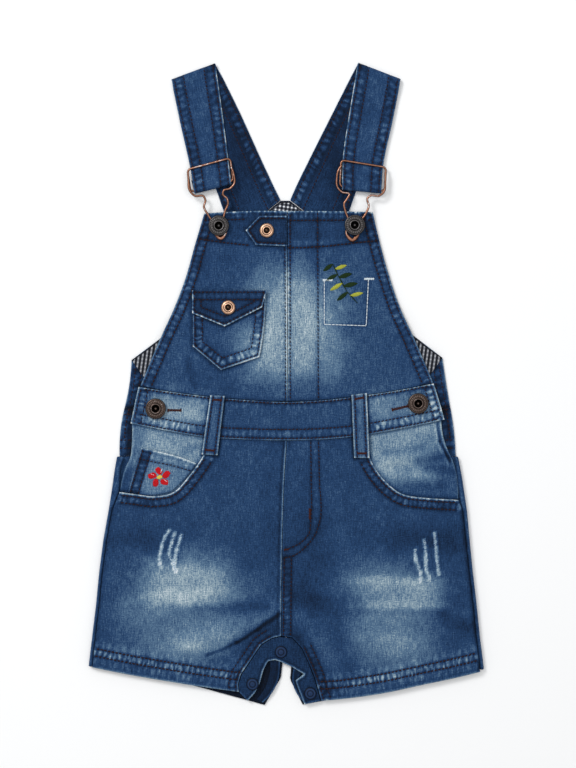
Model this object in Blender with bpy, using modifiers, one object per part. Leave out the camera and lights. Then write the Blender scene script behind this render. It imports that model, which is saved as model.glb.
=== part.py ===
"""Baby shortalls in washed denim, laid flat on a table with the front up.

+Z is up and the table is z = 0. +Y runs towards the shoulders and +X to the
viewer's right; the words left and right below are the viewer's. Tables are in
millimetres, and MM turns them into metres when a mesh is made.

Every piece that is cut and sewn is one closed wall of cloth. A panel is a
four-sided patch: two side lines and a top and a bottom line, filled in between.
Tables that serve both sides give x outwards from the middle of the garment.
"""
import math
from collections import namedtuple

import bmesh
import bpy
import numpy as np

MM = 0.001

# Cloth
DENIM = 1.1          # thickness of one denim wall
GINGHAM = 0.8        # thickness of the checked facing
POCKETING = 1.0      # thickness of the light denim behind the scoop pockets
COIN_POCKET = 0.9
FLAP = 1.2           # thickness of the chest pocket's flap and of the bib's tab
GAP = 0.3            # room between one piece and the next
HEM_RISE = 0.5       # how far a hem or a band stands above the plain cloth
POCKET_RISE = 0.4    # the same for the chest pocket's hem
COIN_RISE = 0.3
LAP_RISE = 0.4       # the same for the strip beside the bib's middle seam
LOOP_RISE = 0.3      # the same for a belt loop's two edges
LOOP_BOW = 0.45      # how far a belt loop bows out from the waistband
HEM_SLOPE = 1.2      # width of the step from plain cloth up to a hem

# Heights above the table, all for undersides
BACK = 0.0
FACING_REST = DENIM + GAP
POCKETING_REST = 1.5
FRONT_REST = 2.8

# Hems and bands
BIB_BAND = 22.0      # depth of the bib's top band
ARMHOLE_HEM = 8.0
LEG_HEM_SHARE = 0.905    # where the leg's hem starts, as a share of the leg's length
SCOOP_HEM = 9.0
CENTRE_LAP = 22.0    # width of the lapped strip beside the bib's middle seam
POCKET_HEM = 7.0

# Straps and their hardware
STRAP_FOLD = 1.2     # middle radius of the fold at the shoulder
WIRE = 1.6           # diameter of the copper wire
WIRE_REST = 3.65     # height of the wire's middle round the strap
HOOK_REST = 5.6      # height of the hook's middle, on the slide and on the bib
STRAP_WRAP = WIRE / 2 + GAP + DENIM / 2     # middle radius of the fold round the slide
STRAP_RETURN = 8.0   # length of strap turned back behind the slide
SLIDE_PAST_OUTER = 2.6   # how far the slide's foot stands out past the strap's two edges
SLIDE_PAST_INNER = 1.9

# Round hardware, radii
SHANK_BUTTON = 7.5
COPPER_BUTTON = 5.3
SNAP = 4.6
TURN_STEPS = 18

Swell = namedtuple("Swell", "x y reach_x reach_y height")
Fold = namedtuple("Fold", "x0 y0 x1 y1 width height")
Flank = namedtuple("Flank", "y outline inset")
Profile = namedtuple("Profile", "radius height")
Colour = namedtuple("Colour", "red green blue roughness metallic")

# Air between the front and the back lifts the front in broad, low swells.
SWELLS = (
    Swell(-5, 55, 58, 44, 0.9),
    Swell(-78, -150, 44, 44, 1.3),
    Swell(78, -150, 44, 44, 1.3),
    Swell(0, -100, 48, 46, 0.7),
)

# Largest folds of the front, each a rounded ridge from one end to the other.
FOLDS = (
    Fold(-6, -166, -70, -191, 9, 2.4),
    Fold(-62, -200, -24, -180, 7, 0.9),
    Fold(12, -172, 37, -213, 8, 1.7),
    Fold(55, -184, 96, -197, 11, 1.1),
    Fold(-112, -128, -52, -140, 14, 1.0),
    Fold(52, -138, 112, -126, 14, 1.0),
    Fold(-74, 13, -66, -3, 5, 0.8),
    Fold(72, 24, 62, -2, 7, 0.6),
)

# Wrinkles of the light denim behind the scoop pockets.
FACING_FOLDS = (
    Fold(72, -56, 102, -52, 4, 0.7),
    Fold(80, -67, 108, -70, 4, 0.6),
    Fold(-74, -52, -92, -45, 4, 0.4),
)

COLOURS = {
    "denim": Colour(0.035, 0.095, 0.24, 0.85, 0.0),
    "light_denim": Colour(0.17, 0.27, 0.36, 0.85, 0.0),
    "gingham": Colour(0.4, 0.4, 0.42, 0.8, 0.0),
    "copper": Colour(0.75, 0.4, 0.24, 0.3, 1.0),
    "antique_metal": Colour(0.09, 0.06, 0.05, 0.4, 1.0),
    "enamel": Colour(0.02, 0.05, 0.13, 0.35, 0.0),
}

# Lines shared by neighbours, in world x and y.
WAIST_TOP = ((-107.9, -1.8), (-81, -5.9), (-55.7, -9.1), (-30, -11.4), (1, -12.8), (26, -11.6),
             (50, -9), (80, -4.6), (107.6, 0.7))
WAIST_BOTTOM = ((-113.6, -28.8), (-88.5, -33.9), (-60, -38.7), (-30, -40.6), (1, -41.2), (26, -40.5),
                (50, -38.4), (82, -33), (115.6, -26))
CENTRE_SEAM = ((0.5, -41.5), (-1.4, -70), (-2.6, -106), (-3.6, -184))
BIB_SEAM = ((0.8, 126.3), (0.9, 60), (1.3, -12.4))

SIDES = {"left": -1, "right": 1}

# Tables for the two sides: x outwards from the middle, y towards the shoulders.
BIB_EDGE = {
    "left": ((60, 124.5), (66.6, 102.2), (73.2, 78.8), (81.9, 55.5), (91.8, 33.6), (106.4, -1.3)),
    "right": ((63.3, 125.6), (68.8, 102.2), (75.4, 78.8), (83.4, 55.5), (93.3, 33.6), (107.3, 1.0)),
}
SCOOP = {
    "left": ((60.3, -51.8), (71, -67.2), (83, -79.4), (95, -82), (109.9, -80.5), (121.6, -78.8)),
    "right": ((60.6, -52.9), (71.1, -69.7), (84, -80), (101.8, -83.2), (114, -84), (126, -84.7)),
}
# Back panel's outer line, and how far inside it the side seam shows on the front.
FLANKS = {
    "left": (Flank(-53.6, 123.8, 5.6), Flank(-62, 125.3, 4.3), Flank(-78.8, 127.7, 5.6),
             Flank(-92, 129.8, 2.6), Flank(-114, 133.7, 2.6), Flank(-137, 136.7, 2.5),
             Flank(-161, 139, 2.4), Flank(-184, 141.8, 2.4), Flank(-206, 144.4, 2.7)),
    "right": (Flank(-53.6, 125.7, 3.2), Flank(-67, 128.3, 3.7), Flank(-84.7, 131, 4.6),
              Flank(-93, 132.2, 3), Flank(-114, 134.1, 2.7), Flank(-137, 136.4, 2.6),
              Flank(-161, 139.2, 2.6), Flank(-184, 141.5, 2.6), Flank(-208, 144.5, 2.8)),
}
INSEAM = {
    "left": ((4.4, -184.1), (10.4, -185.4), (18.4, -190.2), (27.3, -203.5), (33, -211.7), (35.2, -219),
             (34.6, -224.8)),
    "right": ((4.2, -184.9), (11.5, -192.7), (16.6, -203.7), (18.9, -209.2), (21, -214.6),
              (25.7, -231.3)),
}
# Free edge of the snap placket, one place for each place of the two inseams.
PLACKET_FREE_EDGE = (
    (-28.2, -231.4), (-22.8, -225.6), (-19.2, -218.3), (-16.6, -208.8), (-13.3, -202.4), (-8.2, -201.5),
    (-4, -202.9), (4.2, -206.6), (9, -209.6), (13.2, -212), (6.8, -216.3), (8, -220.5), (13.3, -234),
)
FRONT_HEM = {
    "left": ((34.6, -224.8), (60.8, -221.2), (88.5, -216.8), (114.1, -212.4), (141.6, -206.9)),
    "right": ((25.7, -231.3), (70.6, -225.9), (99.8, -219.7), (126.8, -213.9), (141.6, -210.2)),
}
BACK_HEM = {
    "left": ((15.8, -234.9), (44.7, -227), (75.4, -218.9), (100, -213.5), (140, -206.4)),
    "right": ((12, -234.6), (44, -229), (75, -223.6), (110, -216), (140, -208.6)),
}
BACK_INSEAM = {
    "left": ((0.6, -52), (0.6, -188), (2.2, -200), (3.9, -215), (15.8, -234.9)),
    "right": ((0.6, -52), (0.6, -188), (3.2, -200), (2.7, -216), (12, -234.6)),
}
# Edge of the light denim at the side opening, from the waistband down to the pocket's hem.
VENT = {
    "left": ((112.9, -26.2), (112.8, -42.6), (114.1, -53.8), (117.9, -62), (121.3, -77.9)),
    "right": ((113.4, -24), (115.2, -40), (118.1, -48.2), (122, -56.5), (125.8, -83.8)),
}
BACK_ARMHOLE = {
    "left": ((38, 106.8), (43, 90), (56, 68), (72, 48.5), (91.8, 33.6), (113.2, 17.5)),
    "right": ((38, 106.8), (43, 90), (56, 69), (73, 50), (93.3, 35.2), (114.3, 19.2)),
}
BACK_SIDE = {
    "left": ((113.2, 17.5), (115.7, -5.8), (118.2, -17)),
    "right": ((114.3, 19.2), (117.3, -1), (120, -17)),
}
BACK_WAIST_END = {
    "left": ((118.2, -17.3), (121.8, -40), (121.9, -53)),
    "right": ((120, -17.3), (122.9, -36), (124, -53)),
}
# Straps: the two edges of the run on the back and of the run on the front.
STRAP_BACK_OUTER = {
    "left": ((37.5, 107.5), (45.4, 125.6), (51, 141.6), (67.3, 183), (84.1, 222.7)),
    "right": ((37.5, 107.5), (45.6, 125.6), (50.4, 139), (67, 183), (83.8, 223)),
}
STRAP_BACK_INNER = {
    "left": ((4.2, 134.5), (8.4, 143), (17.7, 162.8), (36.4, 203.7), (52, 234.6)),
    "right": ((2.9, 134.5), (6.6, 143), (17.3, 165), (34.9, 200), (52.6, 235)),
}
STRAP_FRONT_OUTER = {
    "left": ((84.1, 222.7), (77.6, 191.3), (70.3, 158.4), (66.8, 138.7)),
    "right": ((83.8, 223), (77.9, 192.7), (71, 159.9), (69.2, 138.9)),
}
STRAP_FRONT_INNER = {
    "left": ((52, 234.6), (46.9, 200), (42.5, 165.7), (39.9, 145.6)),
    "right": ((52.6, 235), (46.5, 200), (41.2, 162.1), (40.7, 141.8)),
}
# Slide: the two upper corners of the wire rectangle that the strap passes under.
SLIDE_TOP = {
    "left": ((72.2, 156.6), (41, 165)),
    "right": ((72.9, 158.2), (40, 163.5)),
}
# Hook: from its end beside the strap, down the inner side, round the button and up again.
HOOK = {
    "left": ((40, 157.6), (38.2, 152.2), (38, 146), (41, 142.6), (45.6, 141), (46.2, 138.4),
             (43.1, 135.2), (42.4, 131.4), (44.4, 126.6), (45.8, 119), (43.9, 110.5), (47.8, 106.2),
             (51.9, 109.8), (53.2, 117), (57, 123.4), (60, 129.4), (58.9, 134), (60.4, 137),
             (66.6, 137.2), (70.6, 141.6), (71.3, 149), (71.6, 155)),
    "right": ((40, 159), (38.2, 156.2), (36.9, 150.4), (37.4, 143.4), (41, 139.8), (46, 138.6),
              (44.2, 134.8), (42.2, 131.6), (42.9, 126.6), (45.4, 119.5), (44.1, 109), (48.3, 105),
              (52.4, 108.8), (53.8, 118), (57.8, 124), (60.2, 129.6), (59.2, 135.4), (61.6, 137.4),
              (67.6, 137.2), (71.2, 140.2), (72.2, 147), (72.2, 154)),
}


# ---------------------------------------------------------------- lines and patches

def smooth(points, shares):
    """Places along a smooth line through points, for shares of its length from 0 to 1."""
    points = np.array(points, float)
    runs = np.linalg.norm(np.diff(points, axis=0), axis=1)
    knots = np.concatenate(([0.0], np.cumsum(runs))) / runs.sum()
    if len(points) == 2:
        slopes = np.repeat(points[1:] - points[:1], 2, axis=0)
    else:
        slopes = np.gradient(points, knots, axis=0, edge_order=2)
    first = np.clip(np.searchsorted(knots, shares, side="right") - 1, 0, len(points) - 2)
    step = (knots[first + 1] - knots[first])[:, None]
    part = (shares - knots[first])[:, None] / step
    rise = part * part * (3 - 2 * part)
    start_pull = part * (1 - part) ** 2 * step
    end_pull = part * part * (part - 1) * step
    return (points[first] * (1 - rise) + points[first + 1] * rise
            + slopes[first] * start_pull + slopes[first + 1] * end_pull)


def line(*runs):
    """A line of smooth runs that meet at corners; each run is its end's share and its points."""
    def place(shares):
        shares = np.asarray(shares, float)
        flat = np.clip(shares.ravel(), 0.0, 1.0)
        places = np.empty((flat.size, 2))
        start = 0.0
        for end, points in runs:
            mine = (flat >= start) & (flat <= end)
            places[mine] = smooth(points, (flat[mine] - start) / (end - start))
            start = end
        return places.reshape(shares.shape + (2,))
    return place


def patch(inner, outer, top, bottom, across, along):
    """Plan of a panel between four lines: across runs from inner to outer, along from top down."""
    across = np.broadcast_to(across, (len(along), np.shape(across)[-1]))
    down = np.broadcast_to(np.asarray(along, float)[:, None], across.shape)
    u = across[..., None]
    v = down[..., None]
    corners = ((1 - u) * (1 - v) * top(0.0) + u * (1 - v) * top(1.0)
               + (1 - u) * v * bottom(0.0) + u * v * bottom(1.0))
    return (1 - u) * inner(down) + u * outer(down) + (1 - v) * top(across) + v * bottom(across) - corners


def outwards(points, side):
    """World x and y of a side's table."""
    return [(SIDES[side] * x, y) for x, y in points]


def straight(start, end, points):
    """Straight runs through points, for a line's shares from start to end."""
    lengths = [math.dist(a, b) for a, b in zip(points, points[1:])]
    ends = start + (end - start) * np.cumsum(lengths) / sum(lengths)
    return list(zip(ends, zip(points, points[1:])))


def part_of(points, low, high, count):
    """The stretch of a smooth line between two values of x, as count points."""
    dense = smooth(points, np.linspace(0, 1, 200))
    order = np.argsort(dense[:, 0])
    x = np.linspace(low, high, count)
    return list(zip(x, np.interp(x, dense[order, 0], dense[order, 1])))


def shifted(points, x=0.0, y=0.0):
    """The same points moved by x and y."""
    return [(px + x, py + y) for px, py in points]


def bands(width, near, far, count):
    """Shares across a panel of the given width: fixed bands at its two edges, even between."""
    low = np.array(near) / width
    high = 1 - np.array(far[::-1]) / width
    return np.concatenate((low, np.linspace(low[-1], high[0], count + 2)[1:-1], high))


# ---------------------------------------------------------------- heights

def ridges(x, y, folds):
    """Height of a set of folds: each falls off as a bell beside its line and towards its ends."""
    height = np.zeros(np.shape(x))
    for fold in folds:
        run = np.array((fold.x1 - fold.x0, fold.y1 - fold.y0), float)
        length = np.hypot(*run)
        along = ((x - fold.x0) * run[0] + (y - fold.y0) * run[1]) / length
        beside = ((x - fold.x0) * run[1] - (y - fold.y0) * run[0]) / length
        past_end = np.maximum(0, np.maximum(-along, along - length))
        height += fold.height * np.exp(-(beside ** 2 + past_end ** 2) / fold.width ** 2)
    return height


def swell(x, y):
    """Broad lift of the front by the air under it."""
    return sum(s.height * np.exp(-((x - s.x) / s.reach_x) ** 2 - ((y - s.y) / s.reach_y) ** 2)
               for s in SWELLS)


def front_under(plan):
    """Underside of the front panels."""
    x, y = plan[..., 0], plan[..., 1]
    return FRONT_REST + swell(x, y) + ridges(x, y, FOLDS)


# ---------------------------------------------------------------- making objects

def clear_scene():
    """Start from an empty file."""
    for obj in list(bpy.data.objects):
        bpy.data.objects.remove(obj)


def make_material(name):
    """Principled material of one of the garment's finishes."""
    colour = COLOURS[name]
    material = bpy.data.materials.new(name)
    material.use_nodes = True
    shader = material.node_tree.nodes["Principled BSDF"]
    shader.inputs["Base Color"].default_value = (colour.red, colour.green, colour.blue, 1)
    shader.inputs["Roughness"].default_value = colour.roughness
    shader.inputs["Metallic"].default_value = colour.metallic
    return material


def add_object(name, data, finish):
    """Put a mesh or curve in the garment's collection with its finish."""
    data.materials.append(bpy.data.materials.get(finish) or make_material(finish))
    obj = bpy.data.objects.new(name, data)
    bpy.data.collections["shortalls"].objects.link(obj)
    return obj


def grid_wall(name, lower, upper, finish):
    """Closed wall between two grids of points in millimetres, lofted row by row."""
    rows, columns = lower.shape[:2]
    count = rows * columns
    index = np.arange(count).reshape(rows, columns)
    cells = np.stack((index[:-1, :-1], index[:-1, 1:], index[1:, 1:], index[1:, :-1]), -1).reshape(-1, 4)
    rim = np.concatenate((index[0, :-1], index[:-1, -1], index[-1, :0:-1], index[:0:-1, 0]))
    after = np.roll(rim, -1)
    sides = np.stack((rim, rim + count, after + count, after), -1)
    faces = np.concatenate((cells[:, ::-1], cells + count, sides[:, ::-1]))
    points = np.concatenate((lower.reshape(-1, 3), upper.reshape(-1, 3))) * MM
    mesh = bpy.data.meshes.new(name)
    mesh.from_pydata(points.tolist(), [], faces.tolist())
    form = bmesh.new()
    form.from_mesh(mesh)
    bmesh.ops.recalc_face_normals(form, faces=form.faces)
    form.to_mesh(mesh)
    form.free()
    mesh.shade_smooth()
    mesh.set_sharp_from_angle(angle=math.radians(40))
    return add_object(name, mesh, finish)


def flat_wall(name, plan, under, thickness, finish="denim"):
    """Wall whose top is straight above its underside."""
    under = np.broadcast_to(under, plan.shape[:2])
    lower = np.dstack((plan, under))
    upper = np.dstack((plan, under + thickness))
    return grid_wall(name, lower, upper, finish)


def bent_wall(name, middle, thickness, finish="denim"):
    """Wall of even thickness either side of a bent middle surface."""
    rows = np.gradient(middle, axis=0)
    columns = np.gradient(middle, axis=1)
    normal = np.cross(rows, columns)
    normal /= np.linalg.norm(normal, axis=2, keepdims=True)
    return grid_wall(name, middle - normal * thickness / 2, middle + normal * thickness / 2, finish)


def wire(name, points, closed, finish="copper"):
    """Round copper wire along points."""
    data = bpy.data.curves.new(name, "CURVE")
    data.dimensions = "3D"
    data.bevel_depth = WIRE / 2 * MM
    data.bevel_resolution = 2
    data.use_fill_caps = True
    spline = data.splines.new("POLY")
    spline.points.add(len(points) - 1)
    for point, place in zip(spline.points, points):
        point.co = (*(np.array(place) * MM), 1)
    spline.use_cyclic_u = closed
    return add_object(name, data, finish)


def turned(name, profile, place, finish, steps=TURN_STEPS):
    """Round piece: a profile from its top to its bottom, turned about its own axis."""
    mesh = bpy.data.meshes.new(name)
    mesh.from_pydata([(p.radius * MM, 0, p.height * MM) for p in profile],
                     [(i, i + 1) for i in range(len(profile) - 1)], [])
    obj = add_object(name, mesh, finish)
    obj.location = [value * MM for value in place]
    screw = obj.modifiers.new("turn", "SCREW")
    screw.steps = steps
    screw.render_steps = steps
    screw.use_merge_vertices = True
    screw.merge_threshold = 0.00001
    screw.use_smooth_shade = True
    return obj


# ---------------------------------------------------------------- back

def back_bib():
    """Back above the waist, from the point between the straps down to the waist seam."""
    left = line((0.72, outwards(BACK_ARMHOLE["left"], "left")), (1.0, outwards(BACK_SIDE["left"], "left")))
    right = line((0.72, outwards(BACK_ARMHOLE["right"], "right")),
                 (1.0, outwards(BACK_SIDE["right"], "right")))
    top = line((0.45, ((-38, 106.8), (-3.9, 134.1))), (0.52, ((-3.9, 134.1), (2.6, 134.1))),
               (1.0, ((2.6, 134.1), (38, 106.8))))
    bottom = line((1.0, ((-118.2, -17), (-60, -21), (0, -22.5), (60, -21), (120, -17))))
    across = (0, 0.04, 0.15, 0.3, 0.45, 0.52, 0.7, 0.85, 0.96, 1)
    plan = patch(left, right, top, bottom, across, (0, 0.15, 0.35, 0.55, 0.72, 0.86, 1))
    flat_wall("back_bib", plan, BACK, DENIM)


def back_waistband():
    """Waistband of the back, with the ends that carry the side buttons."""
    left = line((1.0, outwards(BACK_WAIST_END["left"], "left")))
    right = line((1.0, outwards(BACK_WAIST_END["right"], "right")))
    top = line((1.0, ((-118.2, -17.3), (-60, -21.3), (0, -22.8), (60, -21.3), (120, -17.3))))
    bottom = line((1.0, ((-121.9, -53), (-60, -51.6), (0, -51), (60, -51.6), (124, -53))))
    plan = patch(left, right, top, bottom, np.linspace(0, 1, 9), (0, 0.5, 1))
    flat_wall("back_waistband", plan, BACK, DENIM)


def back_leg(side):
    """Back of one leg, whose outer edge turns up and over to the side seam on the front."""
    flanks = FLANKS[side]
    sign = SIDES[side]
    y = np.array([f.y for f in flanks])
    outline = np.array([f.outline for f in flanks])
    inset = np.array([f.inset for f in flanks])
    shares = (y[0] - y) / (y[0] - y[-1])
    inseam = BACK_INSEAM[side]
    inner = line((0.7, inseam[:2]), (0.85, inseam[1:4]), (1.0, inseam[3:]))
    seam_plan = np.stack((sign * (outline - inset), y), -1)
    top_middle = FRONT_REST + swell(seam_plan[:, 0], y) + DENIM / 2
    radius = (top_middle - DENIM / 2) / 2
    centre_x = outline - radius - DENIM / 2
    outer_points = np.stack((centre_x, y), -1)
    outer_points[0, 1] = -53.3
    outer_points[-1, 1] = BACK_HEM[side][-1][1]

    def outer(share):
        return np.stack([np.interp(share, shares, outer_points[:, k]) for k in (0, 1)], -1)

    bottom = line((1.0, [*BACK_HEM[side][:-1], tuple(outer_points[-1])]))
    top = line((1.0, ((0.6, -51.3), (60, -51.9), tuple(outer_points[0]))))
    plan = patch(inner, outer, top, bottom, np.array((0, 0.06, 0.2, 0.4, 0.6, 0.8, 0.93, 1)), shares)
    flat = np.dstack((plan, np.full(plan.shape[:2], DENIM / 2)))
    turn = np.radians((-60, -30, 0, 30, 60, 90))
    curl_x = centre_x[:, None] + radius[:, None] * np.cos(turn)
    curl_z = DENIM / 2 + radius[:, None] * (1 + np.sin(turn))
    curl_y = np.broadcast_to(plan[:, -1:, 1], curl_x.shape)
    curl = np.dstack((curl_x, curl_y, curl_z))
    seam = np.dstack(((outline - inset)[:, None], plan[:, -1:, 1], top_middle[:, None]))
    middle = np.concatenate((flat, curl, seam), axis=1)
    middle[..., 0] *= sign
    bent_wall(f"back_leg_{side}", middle, DENIM)


def back_placket(side):
    """Strip inside the back of one leg, along the inseam, that takes the snaps' other halves."""
    inner = ((4.6, -199), (4.7, -208), (5.6, -215.4), (17.2, -233))
    far = ((13, -199), (11.8, -207), (13.6, -217.5), (21.5, -230.5))
    if side == "right":
        inner = ((5.3, -199), (5.2, -208), (4.4, -216), (13, -232.8))
        far = ((13, -199), (11.6, -207), (10.4, -214.5), (18.6, -231.4))
    near_line = line((1.0, outwards(inner, side)))
    far_line = line((1.0, outwards(far, side)))
    top = line((1.0, outwards((inner[0], far[0]), side)))
    bottom = line((1.0, outwards((inner[-1], far[-1]), side)))
    plan = patch(near_line, far_line, top, bottom, (0, 0.5, 1), np.linspace(0, 1, 7))
    flat_wall(f"back_placket_{side}", plan, FACING_REST, GINGHAM)


def neck_facing():
    """Checked facing inside the back, where it shows between the straps."""
    top = line((0.36, ((-21.5, 120), (-3.7, 133.4))), (0.5, ((-3.7, 133.4), (2.3, 133.4))),
               (1.0, ((2.3, 133.4), (22, 119.4))))
    bottom = line((1.0, ((-21.5, 112), (22, 112))))
    left = line((1.0, ((-21.5, 120), (-21.5, 112))))
    right = line((1.0, ((22, 119.4), (22, 112))))
    plan = patch(left, right, top, bottom, (0, 0.18, 0.36, 0.5, 0.75, 1), (0, 0.5, 1))
    flat_wall("neck_facing", plan, FACING_REST, GINGHAM, "gingham")


def armhole_facing(side):
    """Checked facing inside the back at the foot of one armhole, where it shows beside the bib."""
    edge = BACK_ARMHOLE[side]
    foot = BACK_SIDE[side][0]
    outer = line((1.0, outwards(((edge[-2][0] - 8, edge[-2][1] + 7), edge[-2], foot), side)))
    inner = line((1.0, outwards(((78, 18), (92, 2), (104, 5)), side)))
    top = line((1.0, outwards(((78, 18), (edge[-2][0] - 8, edge[-2][1] + 7)), side)))
    bottom = line((1.0, outwards(((104, 5), foot), side)))
    plan = patch(inner, outer, top, bottom, (0, 0.5, 1), np.linspace(0, 1, 6))
    flat_wall(f"armhole_facing_{side}", plan, FACING_REST, GINGHAM, "gingham")


# ---------------------------------------------------------------- front below the waist

def pocket_facing(side):
    """Light denim that shows inside a scoop pocket, tucked under the waistband and the leg."""
    scoop = SCOOP[side]
    waist = [(abs(x), y + 2.6) for x, y in WAIST_BOTTOM if SIDES[side] * x > 49]
    waist = sorted(waist)[-3:]
    inner = line((1.0, outwards(((57, waist[0][1]), (57.2, scoop[0][1] - 1)), side)))
    outer = line((1.0, outwards(VENT[side], side)))
    top = line((1.0, outwards(((57, waist[0][1]), waist[1], VENT[side][0]), side)))
    under_leg = [(57.2, scoop[0][1] - 1), (scoop[1][0] - 2.3, scoop[1][1] - 2.2),
                 (scoop[2][0] - 1.2, scoop[2][1] - 3), (scoop[3][0], scoop[3][1] - 3),
                 (scoop[4][0] - 1, scoop[4][1] - 2.4), VENT[side][-1]]
    bottom = line((1.0, outwards(under_leg, side)))
    plan = patch(inner, outer, top, bottom, np.linspace(0, 1, 9), np.linspace(0, 1, 7))
    x, y = plan[..., 0], plan[..., 1]
    under = POCKETING_REST + swell(x, y) + ridges(x, y, FACING_FOLDS)
    flat_wall(f"pocket_facing_{side}", plan, under, POCKETING, "light_denim")


def coin_pocket():
    """Small patch pocket on the left pocket's facing, cut off by the scoop."""
    scoop = SCOOP["left"]
    inner = line((1.0, outwards(((65.6, -58), (72.5, -67.4), (84, -78.4)), "left")))
    outer = line((1.0, outwards(((105.8, -46.6), (110.6, -62), (115.4, -78.6)), "left")))
    top = line((1.0, outwards(((65.6, -58), (82, -52), (95.1, -48.9), (105.8, -46.6)), "left")))
    foot = (scoop[3][0], scoop[3][1] + 1.2)
    bottom = line((1.0, outwards(((84, -78.4), foot, (115.4, -78.6)), "left")))
    across = (0, 0.25, 0.5, 0.75, 0.84, 0.88, 1)
    plan = patch(inner, outer, top, bottom, across, (0, 0.2, 0.26, 0.5, 0.75, 1))
    x, y = plan[..., 0], plan[..., 1]
    top_of_facing = POCKETING_REST + swell(x, y) + ridges(x, y, FACING_FOLDS) + POCKETING
    rise = np.zeros(plan.shape[:2])
    rise[:2] = COIN_RISE
    rise[:, -2:] = COIN_RISE
    flat_wall("coin_pocket", plan, top_of_facing + GAP, COIN_POCKET + rise)


def leg_front(side):
    """Front of one leg: waist, scoop pocket's hem, side seam, hem, inseam and middle seam."""
    sign = SIDES[side]
    middle = [(sign * x + GAP / 2, y) for x, y in CENTRE_SEAM]
    inseam = straight(0.73, 1.0, outwards(INSEAM[side], side))
    inner = line((0.70, outwards(middle, side)), (0.73, outwards((middle[-1], INSEAM[side][0]), side)),
                 *inseam)
    seam = [(f.outline - f.inset - GAP, f.y) for f in FLANKS[side] if f.y < SCOOP[side][-1][1] - 1]
    seam[-1] = FRONT_HEM[side][-1]
    waist = sorted((abs(x), y - GAP) for x, y in part_of(WAIST_BOTTOM, sign * 0.7, sign * 60.4, 6))
    corner = SCOOP[side][-1]
    outer = line((0.07, outwards((waist[-1], SCOOP[side][0]), side)),
                 (0.38, outwards(SCOOP[side], side)),
                 *straight(0.38, 1.0, outwards([corner, *seam], side)))
    top = line((1.0, outwards([(middle[0][0], middle[0][1] - GAP), *waist[1:]], side)))
    bottom = line((1.0, outwards(FRONT_HEM[side], side)))
    along = np.sort((0, 0.035, 0.07, 0.14, 0.2, 0.27, 0.33, 0.38, 0.46, 0.54, 0.62, 0.70, 0.73,
                     *(end for end, _ in inseam), LEG_HEM_SHARE - 0.01, LEG_HEM_SHARE))
    across = np.array([bands(width, (0, 6), (0, SCOOP_HEM, SCOOP_HEM + HEM_SLOPE), 9)
                       for width in np.interp(along, (0, 0.38, 1), (60, 122, 107))])
    plan = patch(inner, outer, top, bottom, across, along)
    rise = np.zeros(plan.shape[:2])
    rise[along >= LEG_HEM_SHARE] = HEM_RISE
    rise[2:8, -2:] = HEM_RISE
    flat_wall(f"leg_front_{side}", plan, front_under(plan), DENIM + rise)


def crotch_placket():
    """Snap placket round the inseam: its outer edge meets the legs, its inner edge hangs free."""
    outer_edge = np.array(outwards(INSEAM["left"][::-1], "left") + outwards(INSEAM["right"], "right"))
    free_edge = np.array(PLACKET_FREE_EDGE)
    inwards = free_edge - outer_edge
    inwards /= np.linalg.norm(inwards, axis=1, keepdims=True)
    seam = outer_edge + inwards * 2 * GAP
    share = np.array((0, 0.35, 0.7, 1))[None, :, None]
    plan = seam[:, None] * (1 - share) + free_edge[:, None] * share
    x, y = plan[..., 0], plan[..., 1]
    under = FRONT_REST + swell(x, y) + 0.5 * ridges(x, y, FOLDS)
    flat_wall("crotch_placket", plan, under, DENIM)


def waistband():
    """Waistband of the front, from buttonhole to buttonhole."""
    top = line((1.0, shifted(WAIST_TOP, y=-GAP)))
    bottom = line((1.0, WAIST_BOTTOM))
    left = line((1.0, ((WAIST_TOP[0][0], WAIST_TOP[0][1] - GAP), (-110.9, -15.6), WAIST_BOTTOM[0])))
    right = line((1.0, ((WAIST_TOP[-1][0], WAIST_TOP[-1][1] - GAP), (111.8, -12.5), WAIST_BOTTOM[-1])))
    across = bands(224, (0, 6, 6 + HEM_SLOPE), (0, 6, 6 + HEM_SLOPE), 13)
    plan = patch(left, right, top, bottom, across, (0, 0.3, 0.62, 0.66, 1))
    rise = np.full(plan.shape[:2], HEM_RISE)
    rise[1:3, 2:-2] = HEM_RISE * 0.5
    x, y = plan[..., 0], plan[..., 1]
    flat_wall("waistband", plan, FRONT_REST + swell(x, y), DENIM + rise)


def belt_loop(side):
    """Belt loop over the waistband and the top of the leg."""
    edges = {
        "left": ((55.4, -8.2), (44.9, -8.6), (50, -52), (61.7, -51.4)),
        "right": ((58.8, -6.6), (47.6, -7.9), (49.5, -53.9), (60.7, -54)),
    }
    top_outer, top_inner, low_inner, low_outer = edges[side]
    inner = line((1.0, outwards((top_inner, low_inner), side)))
    outer = line((1.0, outwards((top_outer, low_outer), side)))
    top = line((1.0, outwards((top_inner, top_outer), side)))
    bottom = line((1.0, outwards((low_inner, low_outer), side)))
    plan = patch(inner, outer, top, bottom, (0, 0.3, 0.7, 1), (0, 0.12, 0.5, 0.88, 1))
    x, y = plan[..., 0], plan[..., 1]
    under = FRONT_REST + swell(x, y) + DENIM + HEM_RISE + GAP
    bow = LOOP_BOW * np.array((0, 0.55, 1, 0.55, 0))[:, None]
    flat_wall(f"belt_loop_{side}", plan, under + bow, DENIM + LOOP_RISE * np.array((1, 0, 0, 1)))


# ---------------------------------------------------------------- bib

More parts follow.
